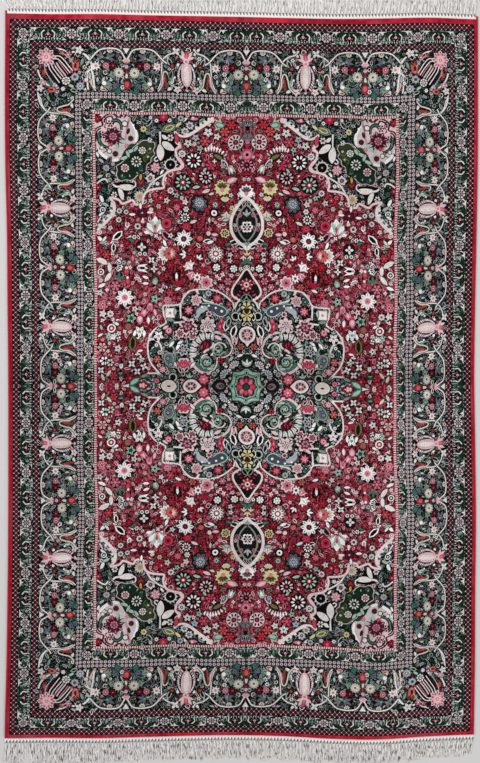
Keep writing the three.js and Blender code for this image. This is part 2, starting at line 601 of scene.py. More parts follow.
# %% [markdown]
# The two minor borders repeat one unit: a grey rosette with white T shapes and short
# hooks beside it, then a green fan with a row of pale ticks for teeth and a few dots.
# A run places local drawings along the top or down the side, and squeezes them to
# the band's own width.

# %% Minor borders
MINOR_DEPTH = 13.5


def run(band, depth, side):
    """The painter's place in a band: a function from a distance along it to a painter."""
    start = band_start[band]
    widths = next(b for b in BANDS if b["name"] == band)
    if side == "top":
        return lambda s, way=1: painter(complex(s, start.imag), way + 0j, 1j * widths["top"] / depth)
    return lambda s, way=1: painter(complex(start.real, s), way * 1j, widths["left"] / depth + 0j)


FAN_GROUND = """
patch pine -12.5,1 0,1 0,12.8 -6,12.8 -9,8
patch ink -3.4,4.6 0,4.2 0,11.6 -5,11.6
"""
WHITE_T = """
patch ivory 5.4,0.6 14.6,0.6 11.4,1.7 9.8,4.6 8.9,1.9
vine ivory 7.8,1.4 5.9,4 5.7,7 6.7,9.6 0.8
"""
HOOKS = """
vine ivory -6,9.8 -6.6,5.8 -3.6,3 1.1
vine mist -9,12 -8.4,8 -10,5 0.5
"""
MINOR_ROWS = """
patch ivory 4.6,12.9 7.6,11.6 10,12.9
tick 9 9 3 100 mist
tick 13 8 4 60 moss
tick 10 11 3 10 sage
blob 12.4 8 1.5 0 mist/coal
tick 11 12.8 2.2 -90 mint
tick 14 12.8 2.6 -90 ivory
dot 8 6.4 0.6 0 mist
"""
FAN_ROWS = """
leaf -9.6 4.6 5 100 moss
tick -9 12.8 2.8 -90 mint
tick -6.4 12.8 2.8 -90 ivory
tick -3.6 12.8 2.6 -90 mint
tick -1.2 12.8 2.2 -90 ivory
tick -3.6 10 3 160 sage
dot -2.6 7.4 0.8 0 rose
tick 0 2 3 90 sage
dot 0 6.6 1.4 0 blush
dot 0 6.6 0.6 0 crimson
dot -1.6 9.6 0.6 0 mist
"""


def minor_rosette(paint):
    draw("petals 0 6.7 5.2 22.5 pearl/coal/rose", "ink", paint)


def minor_half(paint, half):
    """From a rosette at 0 to the middle of the fan at half."""
    parts = (FAN_GROUND, half), (WHITE_T, 0.0), (HOOKS, half), (MINOR_ROWS, 0.0), (FAN_ROWS, half)
    for text, shift in parts:
        draw(text, "", paint, shift)


MINOR_RUNS = table("""
band side first pitch units
minor top 24.6 47.1 6
minor left 33.6 52.4 8
minor2 top 86.0 47.9 5
minor2 left 139.7 52.3 6
""")
minor_units = 0
for row in MINOR_RUNS:
    place = run(row["band"], MINOR_DEPTH, row["side"])
    for i in range(int(row["units"])):
        s = row["first"] + i * row["pitch"]
        for way in (-1, 1):
            if i > 0 or way > 0 or row["first"] > 130:
                minor_half(place(s, way), row["pitch"] / 2)
        minor_rosette(place(s))
        minor_units += 1
minor_rosette(run("minor2", MINOR_DEPTH, "left")(104))
print(minor_units, "minor border units")

# %% [markdown]
# The main border alternates two units. The first is a round of ivory strapwork
# over a small palmette, with two cream rosettes and a red bud that point at the
# field. The second is a tall palmette on black, feathered with pale ticks, between
# crossing stems. The corner is a striped palmette with a large daisy at its foot.

# %% Main border
MAIN_DEPTH = 45.0
ROUND_UNIT = """
vein 9 9 11 -25 olive/umber
spray 19 11 9 -150 slate/sage
spray 24 10 8 -20 stone/sage
vein 27 26 8 100 stone/coal
frond 13 31 7 -70 sage/coal
frond 15 37 8 20 sage/coal
frond 8 41 7 -30 slate/coal
frond 12 43 6 160 jade/coal
leaf 22 30 7 60 mist
rosette 20.6 18.7 3.8 0 pink/wine/snow
blob 13.4 18.4 3.6 0 wine/rose
sun 7.8 25.4 6.0 0 cream/sage/cream/olive
rosette 16.5 3.2 3.4 20 cream/olive/ivory
starlet 30.6 19 5.4 10 ivory/pink
dot 22.8 36.4 2.3 0 snow
vein 20 43 7 -10 blush/brick
dot 25 41 1.6 0 cream
leaf 29 30 6 80 mint
leaf 30 37 5 200 stone
tick 3.5 31 4 60 mint
tick 29 10 5 100 sage
tick 25 16 4 40 stone
tick 17 24 4 -40 sage
"""
ROUND_MIDDLE = """
fan 0 15 4.6 -90 blush/pink/ivory/rose
blob 0 22.6 3.8 0 wine/crimson
dot 0 19.2 2.0 0 mist
leaf 0 25.5 6.5 90 cream
bud 0 37.6 10.5 90 crimson/coral/wine
"""
TALL_UNIT = """
vein 15 19 10 -75 mist/coal
blob 14 18.5 2.2 0 brick/coral
vein 10 21 14 84 stone/coal
vein 14 23 11 66 sage/coal
leaf 12 40 9 -50 mint
vein 16 37 7 -120 snow/mist
star5 9.6 42 4.2 20 ivory/pink
leaf 7.2 8 6 65 wine
dot 8 17 1.7 0 snow
tick 17 30 5 130 sage
tick 5 36 6 80 pink
tick 11 12 5 -120 sage
tick 17 12 5 -60 mist
tick 15 26 4 10 jade
dot 12 30 1.2 0 snow
"""
TALL_MIDDLE = """
oval 0 26.4 13.6 90 ink 0.46
oval 0 26.4 12.8 90 blush 0.42
oval 0 27.4 9.6 90 ivory 0.26
leaf 0 12 9 -28 pearl 0.9
leaf 0 12 9 -152 pearl 0.9
leaf 0 11 8 -48 crimson 1
leaf 0 11 8 -132 crimson 1
leaf 0 13 12 -62 blush 0.7
leaf 0 13 12 -118 blush 0.7
leaf 0 12 10 -90 rose 1.2
leaf 0 12 7 -90 pink 0.9
leaf 0 14 7 -10 rose 0.7
leaf 0 14 7 -170 rose 0.7
button 0 13.4 3 0 blush/pink 1
leaf 0 38 5 90 pink 0.8
"""
ARCH = "0,13 2.5,9 6.7,2.8 15.8,1 25.8,2.6 31.5,7 36.7,13 41,16"
STEM = "52,1.5 49.5,4.6 43.3,6.5 38.3,10 35.8,14.5 35.2,21 35,28 34,35 31,42.5"
CURL = "31,44 35,38 36,29 37.6,24.4 40.5,25.2 42.4,31 44,38 49,43.5"


ROUND_STEMS = f"""
vine ink {STEM} 2.5
vine ivory {STEM} 1.3
vine ink {ARCH} 2.6
vine ivory {ARCH} 1.4
vine ink {CURL} 2.7
vine cream {CURL} 1.4
vine pink 33.5,42 36.5,36 37.4,30 0.8
"""
FEATHERS = 11


def main_round(place, s):
    for way in (-1, 1):
        paint = place(s, way)
        draw(ROUND_UNIT, "ink", paint)
        draw("vine brick 37.5,27 38.8,33 39.6,41 1.8", "", paint)
        paint("ivory", 40 + 43j + blade(8, 3.4) * np.exp(-0.5j))
        draw(ROUND_STEMS, "", paint)
    draw("patch ivory -3.4,0.8 3.4,0.8 0,6.5" + ROUND_MIDDLE, "", place(s))


def main_tall(place, s):
    for way in (-1, 1):
        paint = place(s, way)
        draw(TALL_UNIT, "ink", paint)
        draw("vine ivory 6.5,33 3.5,38.5 0,43.5 1.2\ncross 10.4 3.4 4.8 40 ivory/mist", "", paint)
    paint = place(s)
    paint("ink", 27j + 9.4 * disc(16).real + 15.4j * disc(16).imag)
    draw(TALL_MIDDLE, "", paint)
    for i in range(FEATHERS):
        down = 15 + 2.2 * i
        out = 6.6 * math.sin(math.pi * (i + 2) / (FEATHERS + 3))
        pale = ("mist", "blush", "ivory")[i % 3]
        for way in (-1, 1):
            stamp(paint, "tick", complex(way * out, down), 4.2, 90 - way * 38, pale)
            stamp(paint, "tick", complex(way * out * 0.42, down), 2.2, 90 - way * 50, "pink")


MAIN_RUNS = table("""
side first pitch units
top  126.5 60    3
left 147.6 59.6  5
""")
for row in MAIN_RUNS:
    place = run("main", MAIN_DEPTH, row["side"])
    for i in range(int(row["units"])):
        s = row["first"] + i * row["pitch"]
        (main_tall if i % 2 else main_round)(place, s)
CORNER_BLOCK = """
leaf 41 50 5 60 pink
leaf 53 50 6 -10 maroon
leaf 41 64 5 100 rose
frond 42 71 6 20 brick/coral
square 43.3 82.3 2.8 10 blush/pink/snow
blob 62 53.3 3 0 coral/pink
blob 68.3 54.3 3.6 0 pink/blush
rosette 74.7 76.5 4.6 0 mist/slate/ink
rosette 80 86 4.6 0 mist/slate/snow
tulip 75.3 66 5.6 -90 coral/maroon/pink
spray 75.3 62 5 -90 brick/coral
star5 79.3 50 4.6 0 ivory/mist
star5 40.5 88 4.2 0 ivory/mist
rosette 56 85 4.4 0 mist/slate/ink
tulip 52 89 4.4 180 coral/maroon/pink
leaf 64 78 8 60 sage
leaf 68 84 7 20 mint
leaf 60 80 8 120 ivory
leaf 69 63 8 -60 sage
leaf 66 70 7 10 mist
leaf 83 58 8 100 sage
leaf 86 66 7 -60 mint
leaf 47 94 7 60 sage
vein 82 74 9 60 mist/coal
vein 70 89 8 10 mint/coal
leaf 90 80 8 -100 mist
leaf 50 78 7 70 jade
starlet 63 88 2.6 0 snow/pink
starlet 86 80 2.6 0 snow/pink
"""
CORNER_STEMS = """
vine ivory 62,63 66,57 70,53 76,51.5 82,53 87,57 91,63 93,70 1.6
vine ivory 56,47.8 64,50 71,55 1.6
vine ivory 42,78 39,86 38.5,95 41,104 46,110 1.6
vine ivory 38,70 40,76 45,82 50,86 1.6
vine ivory 88,90 87,80 88,72 91,70 93,76 94,88 1.6
"""
CORNER_PALMETTE = """
region ink 46.6,60 52,54.6 60.4,54 66,59 70.6,66 74,71.6 68,78.6 61,86.6 54.4,81 48,73
vine maroon 46,63 47.6,70 52.4,77 58,85 0.7
vine ivory 48,61 49.6,68 54,74.6 59.6,82 1
vine ivory 50.4,60.6 52.4,66.4 56.6,72.4 62,79 1
vine blush 53,61 55.4,66 59.6,71.6 64,77 1.2
vine pearl 56.4,62 58.6,66 62.4,71 66,75.6 1.4
vine pink 58.4,60.6 62,65.4 65.6,70 68,73.6 0.8
vine ivory 52.6,58.4 57.6,58.4 62.4,62.8 66.8,68 70,72.4 1
vine ivory 52.6,55.8 59.6,55.8 65,60.6 69,66 72.6,70.4 1
vine maroon 61,53.6 67,58.6 71.6,65 0.7
blob 53.6 63.6 2.2 0 maroon/crimson
"""
CORNER_FOOT = """
leaf 70 69 5 50 rose
vine mist 44.6,64 45.6,71 50.6,78.6 56,86 0.8
vine mist 62.4,52.4 69,57.6 74,64 0.8
daisy 46.3 56.7 10 0 blush/maroon/blush
daisy 46.3 56.7 8 22 pink/crimson/blush
daisy 46.3 56.7 6 0 blush/pink/ivory
"""
draw(CORNER_STEMS)
draw(CORNER_BLOCK, "ink")
draw(CORNER_PALMETTE)
draw("petals 66 80 4.4 0 ivory/mist/pink", "ink")
draw(CORNER_FOOT)
main_ground = quarter(band_start["main"] + 1.5 + 1.5j)
inner_rows = quarter(band_start["rings"] - 2.5 - 2.5j)
filled = fill_gaps(BAND_GROUNDS, main_ground, [inner_rows], 16000, BLACK_KINDS, 6)
print("main border drawn, with", filled, "small leaves and curls,", len(chart), "outlines so far")

# %% [markdown]
# The field is next. Its lines are drawn first: the scalloped edge that parts the
# corner pieces from the field, the pendants over the medallion, and the medallion
# itself with its lobes. They are broad ivory vines, over dark or red ground.

# %% Lines of the field
BORDER_LAYERS = len(chart)
CORNER_EDGE = """212,115 210,119 205,122 199,126 194,130 190,134 184,136 178,134.5 174.5,131.5
175.6,136 176,142 179.5,145 176,149 176,153 178,158.5 182,164 178,168.7 171.7,170 167,172 164.5,175
162.5,182 163.3,187 156.7,188 150,189.3 145,192 142.4,197 141.4,203 134.5,204 131.6,200 124.6,203
121,203.5 117.7,200
109,198 113,203 114,209 110.4,214.3 107.8,219.7 102,224.3 97,230"""
MEDALLION = """120,388 128,385 138,379.5 146.4,374.3 157,373.6 162,377 154.3,368.6 150.7,364.3
147.5,356.8 146.4,345 148.9,335 154.3,328 164.2,322.5 162,314 162,305.4 170,305 179,303.4 183,296.5
189.9,290.5 201.8,289 213.6,289.5
223.5,293.5 232.4,301.4 234,307 238,300 246.5,293 260,300 260,400 130,400"""
PENDANT = """247,195 238.3,203 232.4,212.8 230.4,220.7 231.4,230.6 237.3,239.5 243,243.4 247,247.4
256,240 256,200"""
SMALL_PENDANT = "247,267 239,277 233,286 232,293 238,298 247,300 256,296 256,280"
CORNER_SHAPE = np.concatenate([points("94,113 213,113"), smooth(points(CORNER_EDGE), 3)])
MEDALLION_SHAPE = smooth(points(MEDALLION), 3, True)
paint("night", CORNER_SHAPE)
paint("night", MEDALLION_SHAPE)
draw(f"region coal {PENDANT}\nregion coal {SMALL_PENDANT}")
FIELD_GROUNDS = len(chart)
print("grounds of the field laid")

# %% [markdown]
# Corner pieces: in the corner a pale disc with dark scrolls round a spiked flower,
# then a green scalloped leaf, and round them white leaves, curls and rosettes on
# black. Each part is drawn in the order in which a painter would lay it down.

# %% The disc in the corner
DISC = """
vine ivory 97,222 103,212 106,205 1.2
region pine 136,140 128,143 118,152 114,162 118,166 126,161 134,152
region pearl 94,124 97,117 104,113.4 114,112.8 125,115 132,119.5 136.3,128 138.4,136 137,141 133,144.6
127,147.6 124,151 121.6,156 118.6,161 112,162 105.5,158.7 98.6,152 95,146 93.6,135
region blush 96,130 103,119 113,116 121,119 124,126 123,134 121,141 115,147 106,149 98,142
vine snow 95.4,146.4 98.8,151.6 105.5,157.6 112,160.4 118.4,159.4 3.6 0.6
vine snow 131.6,121 135,128 136.6,135.6 135.4,141.4 3.2 0.6
vine mauve 129.4,117.4 127.8,124 126.8,131 125.6,138 124,143 2.6 0.6
vine brick 128.6,120 127.2,126 126.8,130 1 0.5
vine maroon 94.7,147 94,137 96,129 103,125.8 2 0.7
vine maroon 95.6,142 95.6,136 97.6,130.6 101,128.4 2 0.7
vine maroon 103,125.8 102,119.6 107,115 113,113.4 2 0.7
vine maroon 104.6,123 104.6,120 108,117 112,116 2 0.7
vine maroon 113,113.8 118,117 123,115.4 2 0.7
vine maroon 98,141 98.6,134 101,131 2 0.7
vine maroon 94.6,152 96,147 95,142 98,137.6 102,138 1.3 0.6
vine maroon 99,149.6 103,147.6 107,150.6 103,153 1.3 0.6
vine maroon 104,116.4 106.6,121.4 104.4,126.4 1.3 0.6
vine coal 98.4,133 99.4,141 103,146 109,147.6 5 0.5
vine jade 98.4,133 99.4,141 103,146 109,147.6 1.8 0.5
vine coal 112.4,121 117,120.4 120.8,123.6 121.4,130 5 0.5
vine jade 112.4,121 117,120.4 120.8,123.6 121.4,130 1.8 0.5
starlet 113.2 136.6 9.6 34 maroon/pink
daisy 113.2 136.6 10.6 12 maroon/mauve/maroon
dot 113.2 136.6 4.6 0 maroon
petals 113.2 136.6 4.2 0 pink/maroon/mauve
blob 110.4 144.4 2.8 0 crimson/rose
blob 110.4 123.8 4.0 0 maroon/mauve
dot 110.4 123.8 1.1 0 ink
blob 103.2 135.2 3.8 20 maroon/mauve
dot 103.2 135.2 1.1 0 ink
tick 114 119.6 5 -130 maroon
tick 117 119.4 6 -105 maroon
tick 120 119 6 -80 maroon
tick 123 118.6 5 -55 maroon
tick 98 148 5 110 maroon
curl 118 126 2.6 40 sage
curl 101.6 141 2.6 160 sage
tick 107 129 4 -140 wine
tick 121 138 4 20 wine
vein 127.4 134.4 7.4 -82 maroon/umber
sun 130.7 138 3.5 0 maroon/wine/umber/wine
sun 115.3 154 3.7 0 maroon/wine/umber/wine
ringlet 124.6 123.4 3.4 0 umber/ivory/ivory
ringlet 109.3 151.4 2.8 0 umber/ivory/ivory
ringlet 101.6 148 2.2 0 stone/ivory/ivory
leaf 118.6 142 8.4 -4 ink
leaf 117.4 143 8 84 ink
leaf 119 140.6 9 8 mint
leaf 116 143 9 74 mint
leaf 127 147 9 -30 moss
leaf 127 148 8 10 umber
blob 126.6 145.6 2.6 0 rose/pink
"""
draw(DISC)
print(len(chart), "outlines with the disc")

# %% The rest of the corner pieces
CORNER_GREEN = """138.8,143 142,140.2 146.6,139.6 149.7,141.6 153.6,141.4 155,146 153.2,149.6 154.8,154
151.4,157 150.6,161.4 147.2,163.7 146,169 144.4,172.4 139.7,174 136.3,175.3 134,178 129.7,180.3 125.5,179.6
120.5,181 117.2,178.7 115.8,174.5 116.9,170.3 116,166.2 121,163 127,157 131,150 134,146.4"""
draw(f"""
region pine {CORNER_GREEN}
region laurel 136,146 139,143 147,140.6 153,143 152,149 153,154 147,158 142,156 138,149
edging stone {CORNER_GREEN} 0.9
edging blush {CORNER_GREEN} 0.5
""")
CORNER_ROWS = """
vein 131 117.6 7 50 ink/pine
vein 135 123 7 60 ink/pine
blob 97.5 119 3.6 0 crimson/rose
blob 97.3 187.5 3.6 0 crimson/pink
petals 142.3 149.7 3.9 0 ivory/blush/crimson
petals 124.7 167.9 4.4 20 blush/rose/crimson
wheel 136.3 161 6.2 0 pine/ivory/pine/ivory
curl 149 150 3 0 olive
curl 146 158 3 90 olive
curl 122 176 2.6 0 jade
curl 141 168 2.6 50 sage
leaf 138 145 8 120 mint
leaf 134 149 9 150 mint
leaf 128 156 9 150 mint
leaf 126 150 8 60 mint
leaf 143 164 7 130 moss
tick 146 153 3 60 olive
tick 129 174 3 80 mint
tick 136 171 3 60 mint
tick 122 174 3 100 mint
dot 150 148 1.3 0 mint
dot 148 156 1.2 0 mint
bud 140 181 12 90 wine/brick/gold
vein 140 181 9 -90 maroon/gold
peony 155.3 167 5.6 0 pink/blush/maroon/blush
peony 150 177.3 5.2 20 ivory/mist/crimson/maroon
blob 146.7 172 2.2 0 mist/slate
blob 170 137.4 3.6 0 ivory/ink
leaf 175 153 4 80 mist
blob 113.6 195 3.4 0 ivory/ink
blob 128.5 191.8 2.6 0 mist/coal
sun 170.5 164.4 7.8 0 ivory/mist/ink/ivory
petals 170.5 164.4 4.2 15 ink/sage/blush
sun 138.8 196 6.2 0 mist/straw/gold/pink
daisy 143.3 128.3 3.6 0 straw/umber/gold
vein 146 126 10 -60 mist/coal
vein 140 118 9 30 sage/coal
vein 133 121 6 -80 mint/coal
leaf 144 133 6 100 moss
rosette 105.7 168.3 3.8 0 mist/stone/pink
vein 107 165 9 -70 stone/coal
vein 104 171 9 130 olive/coal
vein 101 165 8 -120 stone/coal
leaf 110 171 6 30 mist
rosette 162.7 116.6 5.2 0 crimson/rose/pink
starlet 156 120 2.6 0 snow/ink
starlet 169 120 2.6 0 snow/ink
vein 161 131 17 -28 sage/coal
vein 164 129.6 11 -28 straw/olive
leaf 177 122 11 -32 ivory
leaf 175 127 8 -50 straw
peony 189 124.8 4.6 0 mist/ivory/stone/ink
peony 184.3 130.7 4.2 0 mist/ivory/stone/ink
vein 188 118.6 11 -12 plum/pink
rosette 180 118 3.4 0 mist/slate/ink
dot 192 117 1.6 0 blush
starlet 150 117 2.2 0 snow/olive
star5 128 189 3 0 snow/ink
star5 117 204 0.1 0 snow
blob 103 190 2.6 0 jade/pine
leaf 99 195 9 60 snow
leaf 101 203 8 20 mint
ringlet 102 210 3 0 snow/ink/snow
leaf 98 216 7 -40 snow
rosette 122 198 3 0 sage/ink/snow
rosette 104 217 2.8 0 mist/stone/ink
leaf 96 178 7 -30 mint
leaf 98 159 7 30 mist
leaf 96 152 6 60 snow
leaf 148 184 8 -20 snow
starlet 157 183 2.6 0 snow/pink
dot 151 185 1.2 0 pink
leaf 160 174 6 -60 snow
leaf 150 137 5 -30 jade
leaf 137 118 5 -120 olive
dot 154 128 1.4 0 blush
leaf 150 128 7 -20 stone
curl 153 132 3 60 mist
"""
draw(CORNER_ROWS, "ink")
draw("""
region ink 157,134 165,132 174,138 176,150 171,156 164,161 156,162 154,156 157,148
blob 170 137.4 3.6 0 ivory/ink
region ink 113,184 122,182 133,183 135,188 128,192 124,199 119,199 115,192
region ivory 159.4,143 161.8,145.6 164,150 163.8,155.6 161,160 158.6,158 156.8,153.6 157,148
region ivory 162,141.6 166,141 171,144 174.6,149.6 170.4,150.2 165.6,148.4 162.6,145
region ivory 161.4,134.6 165,135 167,138.6 163.4,138.6
region ivory 117.6,186 122,184.6 129,184.4 133.6,186.4 131,189.6 125,190.4 120,188.6
region ivory 117.4,188 120.6,189.6 123,194 122.6,200 119.6,198 117.6,193
""")
WHITE_STEMS = """159.6,131 160,138 160,145 2.0 0.6
157,156 155,157.6 154.6,159.8 156.6,160.6 158,159.4 1.2 1
112,184.6 115,186.6 119,187 2.0 1
131,188 134.6,185.6 134.8,182 132.4,180.6 131.4,182.4 1.5 0.7
145.6,190.6 150,184 155,179.4 161,175.6 166,173.4 1.6 1
96,183.6 101,180 105,179.4 107,182.6 1.6 1"""
for line in WHITE_STEMS.splitlines():
    path, width, tip = line.rsplit(" ", 2)
    draw(f"vine ink {path} {float(width) + 1.0} {tip}\nvine ivory {path} {width} {tip}")
draw(f"""
vine pink {CORNER_EDGE} 2.6
vine ivory {CORNER_EDGE} 1.8
vine ivory 211.5,116 205,122 198.5,127 192,132 184.6,135 3.2 0.8
vine ivory 111,202 113.6,209 111.6,215 106,221.6 98,229 3.2 0.8
""")
for spot in points("208,117 204,120 200,123 195.6,126.4 111,206 110.4,211 107.6,216 103.4,220.4 99,225"):
    paint("ivory", spot + 1.6 * disc(8))
draw("""
vine blush 176.6,141 179.6,143 180.4,146.6 177,148.8 1.6
vine blush 177,155 180.4,160 183,164.6 181,168 176,169 2.6
ringlet 98.9 232 2.6 0 ivory/pink/ivory
ringlet 211 118 2.4 0 ivory/blush/ivory
""")
print(len(chart), "outlines so far")

# %% [markdown]
# The open field: flowers of many kinds scattered on crimson, on thin dark stems.

# %% Flowers of the field
FIELD_STEMS = """201,151.3 208,150 214.3,150.7 220,151.6 224,154 228,159 230.5,165
168,180 178,190 190,196 200,196 210,190
186,146 192,152 200,150
205,176 196,172 190,168
113,240 124,232 134,231 140,236 150,236
160,212 168,214 174,220 172,230 164,231 157,226
176,222 180,232 182,244 178,252 168,258
198.6,212 196,220 196.4,231.4 199,238
206,211 204,222 203.6,231.4
224,228 218,236 220,246 232,250
163,276 166,268 173,264 182,266 187,272 186,281 179,287 169,286 163,280
186,262 192,268 194,276 190,284
110,290 120,288 130,292 136,300 134,310 126,316
100,322 110,316 118,308 122,300
150,300 144,306 140,316 140,326
110,348 112,341 119,339 125,343 126,350 121,355 114,354
128,345 133,342 139,344
205,250 212,262 222,268 230,262
199,262 192,256 184,254
222,250 228,258 234,266
236,170 238,184 236,196
218,196 226,204 222,214 212,212
183,226 176,232 172,244"""
for line in FIELD_STEMS.splitlines():
    draw(f"vine coal {line} 1")
